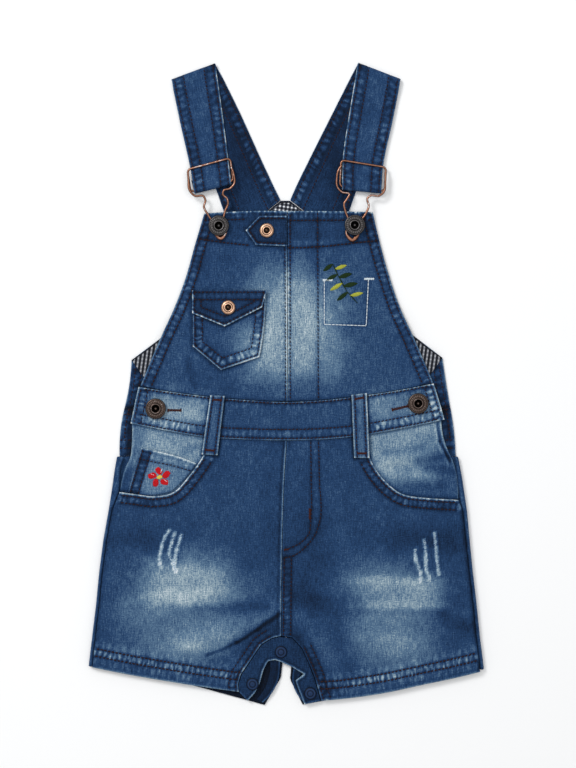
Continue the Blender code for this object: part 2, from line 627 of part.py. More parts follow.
def bib_half(side):
    """One half of the bib; its armhole edge droops to the table above the waist."""
    sign = SIDES[side]
    offset = GAP / 2 if side == "left" else -GAP / 2
    seam = [(sign * (x - offset), y) for x, y in BIB_SEAM]
    edge_points = BIB_EDGE[side]
    inner = line((1.0, outwards(seam, side)))
    outer = line((1.0, outwards(edge_points, side)))
    top = line((1.0, outwards((seam[0], (30, 126.2), edge_points[0]), side)))
    waist = sorted((abs(x), y) for x, y in part_of(WAIST_TOP, sign * 1.6, sign * 106, 7))
    bottom = line((1.0, outwards([seam[-1], *waist[1:-1], edge_points[-1]], side)))
    lap = (0, CENTRE_LAP, CENTRE_LAP + HEM_SLOPE) if side == "right" else (0, 3)
    band = BIB_BAND / 139
    along = np.array((0, band, band + HEM_SLOPE / 139, 0.3, 0.42, 0.54, 0.66, 0.74, 0.82, 0.91, 1))
    widths = np.interp(along, (0, 0.5, 0.7, 1), (60, 79, 89, 107))
    across = np.array([bands(width, lap, (0, ARMHOLE_HEM, ARMHOLE_HEM + HEM_SLOPE), 5)
                       for width in widths])
    plan = patch(inner, outer, top, bottom, across, along)
    rise = np.zeros(plan.shape[:2])
    rise[:2] = HEM_RISE
    rise[:, -2:] = HEM_RISE
    if side == "right":
        rise[:, :2] = np.maximum(rise[:, :2], LAP_RISE)
    from_edge = np.linalg.norm(plan - plan[:, -1:], axis=2)
    drop = np.interp(along, (0, 0.08, 0.5, 0.66), (1.4, 2.3, 2.3, 0.1))[:, None]
    droop = drop * np.clip(1 - from_edge / ARMHOLE_HEM, 0, 1)
    flat_wall(f"bib_{side}", plan, front_under(plan) - droop, DENIM + rise)


def on_bib(plan, lift=0.0):
    """Underside of what lies on the bib: the bib's own top moved out by the seam gap."""
    return front_under(plan) + DENIM + GAP + lift


def bib_tab():
    """Pointed tab set into the bib's middle seam."""
    top = line((0.3, ((-29.6, 112.1), (-19.5, 122.6))), (1.0, ((-19.5, 122.6), (0.4, 122.6))))
    bottom = line((0.3, ((-29.6, 112.0), (-22.1, 101.4))), (1.0, ((-22.1, 101.4), (0.4, 100.4))))
    left = line((1.0, ((-29.6, 112.1), (-29.6, 112.0))))
    right = line((1.0, ((0.4, 122.6), (0.4, 100.4))))
    plan = patch(left, right, top, bottom, (0, 0.15, 0.3, 0.55, 0.8, 1), (0, 0.33, 0.67, 1))
    flat_wall("bib_tab", plan, on_bib(plan, HEM_RISE), FLAP)


def chest_pocket():
    """Patch pocket on the bib, with a pointed foot and a raised hem."""
    left = line((1.0, ((-68.1, 66), (-68.1, 27.4))))
    right = line((1.0, ((-14.9, 66), (-15.6, 46), (-19.6, 19.6))))
    top = line((1.0, ((-68.1, 66), (-14.9, 66))))
    bottom = line((0.42, ((-68.1, 27.4), (-47.6, 10.2))), (1.0, ((-47.6, 10.2), (-19.6, 19.6))))
    hem = POCKET_HEM / 50
    across = (0, hem, hem + 0.03, 0.42, 0.65, 1 - hem - 0.03, 1 - hem, 1)
    along = (0, 0.25, 0.5, 1 - hem - 0.03, 1 - hem, 1)
    plan = patch(left, right, top, bottom, across, along)
    rise = np.zeros(plan.shape[:2])
    rise[:, :2] = POCKET_RISE
    rise[:, -2:] = POCKET_RISE
    rise[-2:] = POCKET_RISE
    flat_wall("chest_pocket", plan, on_bib(plan), DENIM + rise)


def pocket_flap():
    """Pointed flap over the chest pocket."""
    left = line((1.0, ((-68.6, 68.2), (-68.5, 51.6))))
    right = line((1.0, ((-13.9, 68.2), (-17.6, 55.8))))
    top = line((1.0, ((-68.6, 68.2), (-13.9, 68.2))))
    bottom = line((0.46, ((-68.5, 51.6), (-44.8, 41.9))), (1.0, ((-44.8, 41.9), (-17.6, 55.8))))
    plan = patch(left, right, top, bottom, (0, 0.2, 0.46, 0.73, 1), (0, 0.35, 0.7, 1))
    flat_wall("pocket_flap", plan, on_bib(plan, DENIM + POCKET_RISE + GAP), FLAP)


# ---------------------------------------------------------------- straps and hardware

def away_from(start, end, towards):
    """Unit direction square to the line from start to end, on the side of towards."""
    run = np.subtract(end, start)
    normal = np.array((-run[1], run[0])) / np.linalg.norm(run)
    return normal if normal @ towards > 0 else -normal


def strap_foot(side):
    """Fold line at the strap's foot, round which the slide's bottom bar runs, and the way out of it."""
    outer = np.array(STRAP_FRONT_OUTER[side][-1])
    inner = np.array(STRAP_FRONT_INNER[side][-1])
    down = away_from(outer, inner, np.array((0, -1)))
    shift = down * (STRAP_WRAP + DENIM / 2)
    return outer - shift, inner - shift, down


def strap(side):
    """One strap: up the back, folded at the shoulder, down the front and round the slide."""
    back_outer = smooth(STRAP_BACK_OUTER[side], np.linspace(0, 1, 7))
    back_inner = smooth(STRAP_BACK_INNER[side], np.linspace(0, 1, 7))
    share = np.linspace(0, 1, 11)
    front_outer = smooth(STRAP_FRONT_OUTER[side], share)
    front_inner = smooth(STRAP_FRONT_INNER[side], share)
    up = away_from(back_outer[-1], back_inner[-1], np.array((0, 1)))
    for ends in (back_outer[-1:], back_inner[-1:], front_outer[:1], front_inner[:1]):
        ends -= up * (STRAP_FOLD + DENIM / 2)
    front_outer[-1], front_inner[-1], down = strap_foot(side)
    front_rest = DENIM + GAP + DENIM / 2
    fold_top = DENIM / 2 + 2 * STRAP_FOLD
    height = np.interp(share, (0, 0.2, 0.8, 1), (fold_top, front_rest, front_rest, WIRE_REST + STRAP_WRAP))
    rows = [(outer, inner, DENIM / 2) for outer, inner in zip(back_outer, back_inner)]
    for angle in np.radians((-54, -18, 18, 54)):
        out = up * STRAP_FOLD * math.cos(angle)
        rows.append((back_outer[-1] + out, back_inner[-1] + out,
                     DENIM / 2 + STRAP_FOLD * (1 + math.sin(angle))))
    rows += zip(front_outer, front_inner, height)
    for angle in np.radians((45, 0, -45, -90)):
        out = down * STRAP_WRAP * math.cos(angle)
        rows.append((front_outer[-1] + out, front_inner[-1] + out, WIRE_REST + STRAP_WRAP * math.sin(angle)))
    back_up = down * STRAP_RETURN
    rows.append((front_outer[-1] - back_up, front_inner[-1] - back_up, WIRE_REST - STRAP_WRAP))
    across = np.array((0, 0.2, 0.5, 0.8, 1))[:, None]
    middle = np.array([np.hstack((outer * (1 - across) + inner * across, np.full((5, 1), z)))
                       for outer, inner, z in rows])
    middle[..., 0] *= SIDES[side]
    bent_wall(f"strap_{side}", middle, DENIM)


def rounded(corners, cut):
    """Closed outline with each corner taken off by an arc of three points."""
    corners = np.array(corners)
    before = np.roll(corners, 1, axis=0) - corners
    after = np.roll(corners, -1, axis=0) - corners
    before *= cut / np.linalg.norm(before, axis=1, keepdims=True)
    after *= cut / np.linalg.norm(after, axis=1, keepdims=True)
    middle = corners + (before + after) * 0.3
    return np.stack((corners + before, middle, corners + after), axis=1).reshape(-1, 2)


def slide(side):
    """Wire rectangle: its top bar lies over the strap and its bottom bar inside the strap's fold."""
    outer, inner, _ = strap_foot(side)
    beyond = (outer - inner) / np.linalg.norm(outer - inner)
    foot = (inner - beyond * SLIDE_PAST_INNER, outer + beyond * SLIDE_PAST_OUTER)
    plan = rounded(outwards((*SLIDE_TOP[side], *foot), side), cut=2)
    wire(f"slide_{side}", [(x, y, WIRE_REST) for x, y in plan], closed=True)


def hook(side):
    """Wire hook: it lies on the slide's sides, narrows to a neck and loops round the bib button."""
    plan = smooth(outwards(HOOK[side], side), np.linspace(0, 1, 44))
    wire(f"hook_{side}", [(x, y, HOOK_REST) for x, y in plan], closed=False)


def shank_button(name, x, y, seat, shank):
    """Hollow-centred button: cup, rolled rim and a shank down to the cloth."""
    cap = shank + 2.2
    profile = (Profile(0, shank + 0.9), Profile(2.6, shank + 0.9), Profile(3.0, cap - 0.1),
               Profile(3.7, cap), Profile(6.4, cap - 0.4), Profile(SHANK_BUTTON, cap - 1.1),
               Profile(SHANK_BUTTON - 0.4, shank), Profile(2.4, shank - 0.05), Profile(2.4, 0),
               Profile(0, 0))
    turned(name, profile, (x, y, seat), "antique_metal")


def copper_button(name, x, y, seat):
    """Small copper ring button with a dark centre hole."""
    profile = (Profile(0, 0.5), Profile(2.2, 0.5), Profile(2.4, 1.6), Profile(3.4, 1.8),
               Profile(4.8, 1.3), Profile(COPPER_BUTTON, 0.6), Profile(COPPER_BUTTON - 0.2, 0),
               Profile(0, 0))
    turned(name, profile, (x, y, seat), "copper")


def snap(name, x, y, seat):
    """Domed snap cap."""
    profile = (Profile(0, 1.5), Profile(2.0, 1.35), Profile(3.5, 0.9), Profile(SNAP - 0.2, 0.75),
               Profile(SNAP, 0.4), Profile(SNAP - 0.2, 0), Profile(0, 0))
    turned(name, profile, (x, y, seat), "enamel", steps=16)


def height_at(x, y, extra):
    """Top of the front wall at one place, with what lies on it and the gap to the next piece."""
    place = np.array([[[x, y]]], float)
    return float(front_under(place)[0, 0]) + DENIM + GAP + extra


def fasteners():
    """All buttons and snaps, seated on the cloth that carries them."""
    for side, x, y in (("left", -49.1, 115.3), ("right", 49.9, 115.7)):
        seat = height_at(x, y, HEM_RISE)
        shank = HOOK_REST + WIRE / 2 + GAP - seat
        shank_button(f"bib_button_{side}", x, y, seat, shank)
    for side, x, y in (("left", -95.2, -18), ("right", 96.2, -14.2)):
        shank_button(f"side_button_{side}", x, y, height_at(x, y, HEM_RISE), 0.6)
    copper_button("tab_button", -14.2, 111.9, height_at(-14.2, 111.9, HEM_RISE + FLAP + GAP))
    flap_top = DENIM + POCKET_RISE + FLAP + 2 * GAP
    copper_button("flap_button", -42.2, 55.7, height_at(-42.2, 55.7, flap_top))
    for name, x, y in (("centre", -3.8, -195.6), ("left", -24.6, -219), ("right", 17.6, -225.8)):
        snap(f"snap_{name}", x, y, height_at(x, y, 0))


def build():
    """Make every piece."""
    clear_scene()
    collection = bpy.data.collections.new("shortalls")
    bpy.context.scene.collection.children.link(collection)
    back_bib()
    back_waistband()
    neck_facing()
    coin_pocket()
    crotch_placket()
    waistband()
    bib_tab()
    chest_pocket()
    pocket_flap()
    for side in SIDES:
        back_leg(side)
        back_placket(side)
        armhole_facing(side)
        pocket_facing(side)
        leg_front(side)
        belt_loop(side)
        bib_half(side)
        strap(side)
        slide(side)
        hook(side)
    fasteners()


build()
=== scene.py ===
"""Looks of a pair of baby shortalls in washed denim, laid flat with the front up.

The file is laid out as a Blender add-on and run as a script. Lengths in the tables
and in the shape functions are millimetres and become metres when a mesh is made.
+Y runs towards the shoulders and +X to the viewer's right; the words left and right
are the viewer's. Tables that serve both sides give x outwards from the middle.
"""

import math
from collections import namedtuple

import bpy
import numpy as np
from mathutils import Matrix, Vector
from mathutils.bvhtree import BVHTree


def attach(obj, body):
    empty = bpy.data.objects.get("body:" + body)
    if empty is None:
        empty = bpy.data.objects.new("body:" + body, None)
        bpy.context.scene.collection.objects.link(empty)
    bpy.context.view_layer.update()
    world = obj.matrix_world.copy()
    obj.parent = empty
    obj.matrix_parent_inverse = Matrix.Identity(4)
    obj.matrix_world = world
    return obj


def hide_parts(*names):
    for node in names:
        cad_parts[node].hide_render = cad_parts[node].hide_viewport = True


bl_info = {
    "name": "Denim shortalls",
    "version": (1, 0, 0),
    "blender": (4, 5, 0),
    "location": "View3D > Sidebar > Shortalls",
    "description": "Cloth, sewing, metal fittings and studio for a pair of baby shortalls",
    "category": "Object",
}

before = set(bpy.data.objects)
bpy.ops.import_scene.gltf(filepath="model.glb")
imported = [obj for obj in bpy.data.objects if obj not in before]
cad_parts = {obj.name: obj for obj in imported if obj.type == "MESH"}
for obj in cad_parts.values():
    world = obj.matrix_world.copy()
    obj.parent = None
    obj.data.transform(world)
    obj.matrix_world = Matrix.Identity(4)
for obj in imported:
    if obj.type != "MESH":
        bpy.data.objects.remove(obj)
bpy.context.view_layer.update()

MM = 0.001
SIDES = {"left": -1, "right": 1}

# A fold is a ridge or a crease from one end to the other. A band of cloth is puckered at a pitch within
# its reach of a line, a shadow darkens what lies within about its width of a line, and a row is sewn
# along a line. A leaf is satin stitch from one end to the other.
Swell = namedtuple("Swell", "x y reach_x reach_y height")
Fold = namedtuple("Fold", "x0 y0 x1 y1 width height")
Flank = namedtuple("Flank", "y outline inset")
Fade = namedtuple("Fade", "x y reach_x reach_y tone")
Row = namedtuple("Row", "points thread weight", defaults=("brown", 1.0))
Band = namedtuple("Band", "points reach pitch tone")
Shadow = namedtuple("Shadow", "points tone width")
Leaf = namedtuple("Leaf", "x0 y0 x1 y1 width thread")
Profile = namedtuple("Profile", "radius height tone knurl", defaults=(0.0,))
Yarn = namedtuple("Yarn", "across along rough weight")

UP = np.array((0.0, 0.0, 1.0))

# Sizes and counts.
STRAP_WIDTH = 31
STRAP_FOLD = 1.2         # middle radius of the strap's fold at the shoulder
STRAP_WRAP = 1.65        # middle radius of its fold round the slide
SHOULDER_ROWS = 10       # rows of the strap's mesh round the fold at the shoulder
LAP_RISE = 0.4           # how far the chest pocket's hem and the lap down the bib stand up
SEAM_ROOM = 0.01         # between the back's waistband and the cloth above it
COIN_THICKNESS = 0.9     # of the coin pocket
CAP_HEIGHT = 2.2         # top of a shank button's cap above its shank
SIDE_SHANK = 0.6         # length of a side button's shank
TACK_WIDTH = 1.9         # of a bar tack
GROOVE_DEPTH = 0.22      # of a row of sewing in its cloth
PIPING = 0.95            # width of the dark piping along a checked facing
EDGE_PLACES = 12         # places on a short edge that sewing follows

# Distances from an edge at which the mesh of its rounded rim has lines.
RIM_PLACES = (0, 0.05, 0.18, 0.38, 0.65, 1.1)
# Distances from the slide's bar of the rows of mesh on the strap's short end behind it.
STRAP_END = (1.5, 3, 4.5, 6, 7, 7.5, 7.8, 7.95, 8)
# Shares of a pointed piece's width at which its point lies.
TAB_POINT, POCKET_POINT, FLAP_POINT = 0.3, 0.42, 0.46

# The table, in metres: its top just under the cloth, and half its width. The lamps: the name of each
# one's power in the settings, its place and its size in metres.
TABLE_TOP, TABLE_REACH = -0.0005, 3.0
LAMPS = {"key": ((-1.2, 1.2, 1.7), 0.7), "top": ((0.1, 0.15, 1.9), 1.8)}

# Distances from an edge to the rows of sewing beside it.
HEM_ROWS = (8.7, 14.1)
SCOOP_ROWS = (2.0, 7.4)
INSEAM_ROWS = (1.8, 6.8)
WAIST_END_ROWS = (2.2, 7.4)
BACK_SIDE_ROWS = (3.2, 7.4)
STRAP_ROWS = (2.0, 8.0)
COIN_SIDE_ROWS = (1.6, 7.6)
LOOP_ROW = 2.3
# Beside the bib's armhole edge, each with the weight of its thread.
ARMHOLE_ROWS = ((2.0, 0.8), (7.6, 1.3))
# Values of y of the rows across the ends of the back's waistband.
BACK_WAIST_ROWS = (-18.6, -22.4, -41, -47)

# Air between the front and the back lifts the front in broad, low swells.
SWELLS = (
    Swell(-5, 55, 58, 44, 0.9),
    Swell(-78, -150, 44, 44, 1.3),
    Swell(78, -150, 44, 44, 1.3),
    Swell(0, -100, 48, 46, 0.7),
)

# Largest folds of the front, each a rounded ridge from one end to the other.
FOLDS = (
    Fold(-6, -166, -70, -191, 9, 2.4),
    Fold(-62, -200, -24, -180, 7, 0.9),
    Fold(12, -172, 37, -213, 8, 1.7),
    Fold(55, -184, 96, -197, 11, 1.1),
    Fold(-112, -128, -52, -140, 14, 1.0),
    Fold(52, -138, 112, -126, 14, 1.0),
    Fold(-74, 13, -66, -3, 5, 0.8),
    Fold(72, 24, 62, -2, 7, 0.6),
)

# Wrinkles of the light denim behind the scoop pockets.
FACING_FOLDS = (
    Fold(72, -56, 102, -52, 4, 0.7),
    Fold(80, -67, 108, -70, 4, 0.6),
    Fold(-74, -52, -92, -45, 4, 0.4),
)

# Lines in world x and y, most of them shared by neighbours.
WAIST_TOP = ((-107.9, -1.8), (-81, -5.9), (-55.7, -9.1), (-30, -11.4), (1, -12.8), (26, -11.6),
             (50, -9), (80, -4.6), (107.6, 0.7))
WAIST_BOTTOM = ((-113.6, -28.8), (-88.5, -33.9), (-60, -38.7), (-30, -40.6), (1, -41.2), (26, -40.5),
                (50, -38.4), (82, -33), (115.6, -26))
CENTRE_SEAM = ((0.5, -41.5), (-1.4, -70), (-2.6, -106), (-3.6, -184))
BIB_SEAM = ((0.8, 126.3), (0.9, 60), (1.3, -12.4))
BACK_TOP = ((-38, 106.8), (-3.9, 134.1), (2.6, 134.1), (38, 106.8))
BACK_WAIST_SEAM = ((-118.2, -17), (-60, -21), (0, -22.5), (60, -21), (120, -17))
BACK_WAIST_FOOT = ((-121.9, -53), (-60, -51.6), (0, -51), (60, -51.6), (124, -53))
NECK_TOP = ((-21.5, 120), (-3.7, 133.4), (2.3, 133.4), (22, 119.4))
NECK_FOOT = ((-21.5, 112), (22, 112))
WAIST_END = {"left": (-110.9, -15.6), "right": (111.8, -12.5)}    # middle of each end of the waistband

# Tables for the two sides: x outwards from the middle, y towards the shoulders.
BIB_EDGE = {
    "left": ((60, 124.5), (66.6, 102.2), (73.2, 78.8), (81.9, 55.5), (91.8, 33.6), (106.4, -1.3)),
    "right": ((63.3, 125.6), (68.8, 102.2), (75.4, 78.8), (83.4, 55.5), (93.3, 33.6), (107.3, 1.0)),
}
SCOOP = {
    "left": ((60.3, -51.8), (71, -67.2), (83, -79.4), (95, -82), (109.9, -80.5), (121.6, -78.8)),
    "right": ((60.6, -52.9), (71.1, -69.7), (84, -80), (101.8, -83.2), (114, -84), (126, -84.7)),
}
# Back panel's outer line, and how far inside it the side seam shows on the front.
FLANKS = {
    "left": (Flank(-53.6, 123.8, 5.6), Flank(-62, 125.3, 4.3), Flank(-78.8, 127.7, 5.6),
             Flank(-92, 129.8, 2.6), Flank(-114, 133.7, 2.6), Flank(-137, 136.7, 2.5),
             Flank(-161, 139, 2.4), Flank(-184, 141.8, 2.4), Flank(-206, 144.4, 2.7)),
    "right": (Flank(-53.6, 125.7, 3.2), Flank(-67, 128.3, 3.7), Flank(-84.7, 131, 4.6),
              Flank(-93, 132.2, 3), Flank(-114, 134.1, 2.7), Flank(-137, 136.4, 2.6),
              Flank(-161, 139.2, 2.6), Flank(-184, 141.5, 2.6), Flank(-208, 144.5, 2.8)),
}
INSEAM = {
    "left": ((4.4, -184.1), (10.4, -185.4), (18.4, -190.2), (27.3, -203.5), (33, -211.7), (35.2, -219),
             (34.6, -224.8)),
    "right": ((4.2, -184.9), (11.5, -192.7), (16.6, -203.7), (18.9, -209.2), (21, -214.6),
              (25.7, -231.3)),
}
PLACKET_FREE_EDGE = (
    (-28.2, -231.4), (-22.8, -225.6), (-19.2, -218.3), (-16.6, -208.8), (-13.3, -202.4), (-8.2, -201.5),
    (-4, -202.9), (4.2, -206.6), (9, -209.6), (13.2, -212), (6.8, -216.3), (8, -220.5), (13.3, -234),
)
FRONT_HEM = {
    "left": ((34.6, -224.8), (60.8, -221.2), (88.5, -216.8), (114.1, -212.4), (141.6, -206.9)),
    "right": ((25.7, -231.3), (70.6, -225.9), (99.8, -219.7), (126.8, -213.9), (141.6, -210.2)),
}
BACK_HEM = {
    "left": ((15.8, -234.9), (44.7, -227), (75.4, -218.9), (100, -213.5), (140, -206.4)),
    "right": ((12, -234.6), (44, -229), (75, -223.6), (110, -216), (140, -208.6)),
}
# Top of each back leg under the waistband, and the y of its outer corner.
BACK_LEG_WAIST = ((0.6, -51.05), (60, -51.65))
BACK_LEG_CORNER = -53.05
BACK_INSEAM = {
    "left": ((0.6, -52), (0.6, -188), (2.2, -200), (3.9, -215), (15.8, -234.9)),
    "right": ((0.6, -52), (0.6, -188), (3.2, -200), (2.7, -216), (12, -234.6)),
}
# Outer line of the pale facing in each scoop pocket, and how far the facing goes on under the leg at
# four of the scoop's places: inwards and down.
VENT = {
    "left": ((112.9, -26.2), (112.8, -42.6), (114.1, -53.8), (117.9, -62), (121.3, -77.9)),
    "right": ((113.4, -24), (115.2, -40), (118.1, -48.2), (122, -56.5), (125.8, -83.8)),
}
FACING_TUCK = ((2.3, 2.2), (1.2, 3), (0, 3), (1, 2.4))
BACK_ARMHOLE = {
    "left": ((38, 106.8), (43, 90), (56, 68), (72, 48.5), (91.8, 33.6), (113.2, 17.5)),
    "right": ((38, 106.8), (43, 90), (56, 69), (73, 50), (93.3, 35.2), (114.3, 19.2)),
}
ARMHOLE_FACING_INNER = ((78, 18), (92, 2), (104, 5))
BACK_SIDE = {
    "left": ((113.2, 17.5), (115.7, -5.8), (118.2, -17)),
    "right": ((114.3, 19.2), (117.3, -1), (120, -17)),
}
BACK_WAIST_END = {
    "left": ((118.2, -17.01), (121.8, -40), (121.9, -53)),
    "right": ((120, -17.01), (122.9, -36), (124, -53)),
}
BACK_PLACKET = {
    "left": (((4.6, -199), (4.7, -208), (5.6, -215.4), (17.2, -233)),
             ((13, -199), (11.8, -207), (13.6, -217.5), (21.5, -230.5))),
    "right": (((5.3, -199), (5.2, -208), (4.4, -216), (13, -232.8)),
              ((13, -199), (11.6, -207), (10.4, -214.5), (18.6, -231.4))),
}
BELT_LOOP = {
    "left": ((55.4, -8.2), (44.9, -8.6), (50, -52), (61.7, -51.4)),
    "right": ((58.8, -6.6), (47.6, -7.9), (49.5, -53.9), (60.7, -54)),
}
# The coin pocket, on the left side.
COIN_INNER = ((65.6, -58), (72.5, -67.4), (84, -78.4))
COIN_OUTER = ((105.8, -46.6), (110.6, -62), (115.4, -78.6))
COIN_TOP = ((65.6, -58), (82, -52), (95.1, -48.9), (105.8, -46.6))
COIN_ROW = ((69.4, -63.4), (84, -59.2), (99.5, -56.3), (108, -54.4))
# Straps: the two edges of the run on the back and of the run on the front.
STRAP_BACK = {
    "left": (((37.5, 107.5), (45.4, 125.6), (51, 141.6), (67.3, 183), (84.1, 222.7)),
             ((4.2, 134.5), (8.4, 143), (17.7, 162.8), (36.4, 203.7), (52, 234.6))),
    "right": (((37.5, 107.5), (45.6, 125.6), (50.4, 139), (67, 183), (83.8, 223)),
              ((2.9, 134.5), (6.6, 143), (17.3, 165), (34.9, 200), (52.6, 235))),
}
STRAP_FRONT = {
    "left": (((84.1, 222.7), (77.6, 191.3), (70.3, 158.4), (66.8, 138.7)),
             ((52, 234.6), (46.9, 200), (42.5, 165.7), (39.9, 145.6))),
    "right": (((83.8, 223), (77.9, 192.7), (71, 159.9), (69.2, 138.9)),
              ((52.6, 235), (46.5, 200), (41.2, 162.1), (40.7, 141.8))),
}
SLIDE_TOP = {
    "left": ((72.2, 156.6), (41, 165)),
    "right": ((72.9, 158.2), (40, 163.5)),
}
HOOK = {
    "left": ((40, 157.6), (38.2, 152.2), (38, 146), (41, 142.6), (45.6, 141), (46.2, 138.4),
             (43.1, 135.2), (42.4, 131.4), (44.4, 126.6), (45.8, 119), (43.9, 110.5), (47.8, 106.2),
             (51.9, 109.8), (53.2, 117), (57, 123.4), (60, 129.4), (58.9, 134), (60.4, 137),
             (66.6, 137.2), (70.6, 141.6), (71.3, 149), (71.6, 155)),
    "right": ((40, 159), (38.2, 156.2), (36.9, 150.4), (37.4, 143.4), (41, 139.8), (46, 138.6),
              (44.2, 134.8), (42.2, 131.6), (42.9, 126.6), (45.4, 119.5), (44.1, 109), (48.3, 105),
              (52.4, 108.8), (53.8, 118), (57.8, 124), (60.2, 129.6), (59.2, 135.4), (61.6, 137.4),
              (67.6, 137.2), (71.2, 140.2), (72.2, 147), (72.2, 154)),
}

# The lap below the waistband, in world x and y: its two rows, the seam below it and the puckers.
FLY_ROWS = (
    ((23.6, -42), (24.2, -70), (24.5, -100), (21.4, -109.5), (13.7, -119.3), (5.7, -125.2), (-1.4, -127)),
    ((17.9, -42), (18.2, -70), (18.0, -99), (16.4, -109.5), (10.8, -115.6), (3.6, -119.4), (-1.4, -120.9)),
)
CROTCH_ROWS = (((-1.4, -127), (-2.0, -184)), ((3.8, -127), (3.2, -184)))
FLY_BANDS = (
    Band(((0.9, -127), (0.6, -184)), 2.6, 4.6, 0.16), Band(((21, -44), (21.2, -100)), 2.6, 6.0, 0.05),
)

# Sewing of the bib's two halves, in world x and y, apart from what follows their edges.
BIB_ROWS = {
    "left": (Row(((-60, 119.2), (-30, 120.2))),
             Row(((-66.5, 106.2), (-45, 103.2), (-27, 101.2)), weight=1.25),
             Row(((-0.9, 99), (-0.5, -11)), weight=0.8)),
    "right": (Row(((2, 119.3), (62, 119.8))),
              Row(((1, 99.6), (10.9, 99.4), (30, 100.6), (50, 103), (66.8, 104.6)), weight=1.4),
              Row(((2.8, 124), (2.9, -11))), Row(((22.9, 125.3), (23.4, -10.8))),
              Row(((27.8, 76.1), (27.8, 43.5), (58.4, 42.5), (60.1, 76.7)), "white", 0.9)),
}
BIB_BANDS = {
    "left": (Band(((-66, 109), (-45, 106), (-27, 104)), 2.4, 4.6, 0.07),
             Band(((-2.2, 100), (-1.2, -12)), 2.0, 5.0, 0.10)),
    "right": (Band(((1, 102), (30, 103), (50, 105.4), (66.8, 107)), 2.2, 4.8, 0.06),
              Band(((1.6, 125), (1.8, -12)), 1.7, 4.6, 0.13),
              Band(((23.6, 98), (23.9, -11)), 1.8, 5.5, 0.06)),
}
TAB_TOP = ((-29.6, 112.1), (-19.5, 122.6), (0.4, 122.6))
TAB_FOOT = ((-29.6, 112.0), (-22.1, 101.4), (0.4, 100.4))
TAB_ROW = ((-1.2, 120.9), (-18.8, 120.9), (-27.2, 112.1), (-21.2, 103.1), (-1.2, 102.1))
TAB_BAND = Band(((-1, 121.6), (-19, 121.6), (-28, 112.1), (-21.6, 102.4), (-1, 101.4)), 1.2, 3.6, 0.2)
TAB_OUTLINE = ((0, 123), (-19.8, 123), (-30.2, 112), (-22.4, 100.9), (0, 100))

POCKET_LEFT = ((-68.1, 66), (-68.1, 27.4))
POCKET_FOOT = ((-68.1, 27.4), (-47.6, 10.2), (-19.6, 19.6))
POCKET_RIGHT = ((-14.9, 66), (-15.6, 46), (-19.6, 19.6))
POCKET_ROWS = (
    Row(((-66.6, 64), (-66.6, 28.2), (-47.4, 12.0), (-20.9, 21.2), (-17.1, 46), (-16.5, 64))),
    Row(((-61.2, 64), (-61.2, 30.9), (-46.4, 18.9), (-25.4, 26.2), (-22.5, 46), (-22.0, 64))),
)
POCKET_BAND = Band(((-64, 64), (-64, 29.6), (-47, 15.4), (-23.2, 23.8), (-19.8, 46), (-19.2, 64)),
                   3.0, 4.2, 0.24)
POCKET_OUTLINE = ((-68.5, 67), (-68.5, 27.2), (-47.6, 9.7), (-19.2, 19.3), (-15.1, 46), (-14.2, 67))
FLAP_TOP = ((-68.6, 68.2), (-13.9, 68.2))
FLAP_FOOT = ((-68.5, 51.6), (-44.8, 41.9), (-17.6, 55.8))
FLAP_ROWS = (
    Row(((-67, 67), (-67, 52.9), (-44.9, 43.5), (-18.8, 56.6), (-15.8, 67))),
    Row(((-67.4, 66.9), (-15.4, 66.9))),
    Row(((-62, 61.2), (-62, 55.9), (-44.7, 49.2), (-24, 59.4), (-22.5, 61.5))),
    Row(((-67.4, 61.4), (-16.6, 61.4))),
)
FLAP_BANDS = (
    Band(((-68.3, 67), (-68.2, 51.9), (-44.9, 42.4), (-17.9, 56), (-14.4, 67)), 2.0, 3.6, 0.28),
    Band(((-67, 64.2), (-15, 64.2)), 2.2, 4.2, 0.10),
)

# Bars of zigzag: start, end and width. Buttonholes: the two ends of each slit.
FLY_TACKS = (((17.3, -90.8), (17.3, -98.9), TACK_WIDTH), ((-1.8, -121), (1.8, -120.6), 1.6))
MOCK_POCKET_TACKS = (((26.6, 75.8), (33.8, 75.8), TACK_WIDTH), ((56.9, 76.7), (64.2, 76.7), TACK_WIDTH))
BUTTONHOLES = {
    "left": ((-86.2, -19.2), (-76.9, -19.2)),
    "right": ((89, -16.1), (77.5, -18.8)),
}

# Middles of the buttons and the snap caps, in world x and y.
BIB_BUTTONS = {"left": (-49.1, 115.3), "right": (49.9, 115.7)}
SIDE_BUTTONS = {"left": (-95.2, -18), "right": (96.2, -14.2)}
TAB_BUTTON = (-14.2, 111.9)
FLAP_BUTTON = (-42.2, 55.7)
SNAPS = {"centre": (-3.8, -195.6), "left": (-24.6, -219), "right": (17.6, -225.8)}

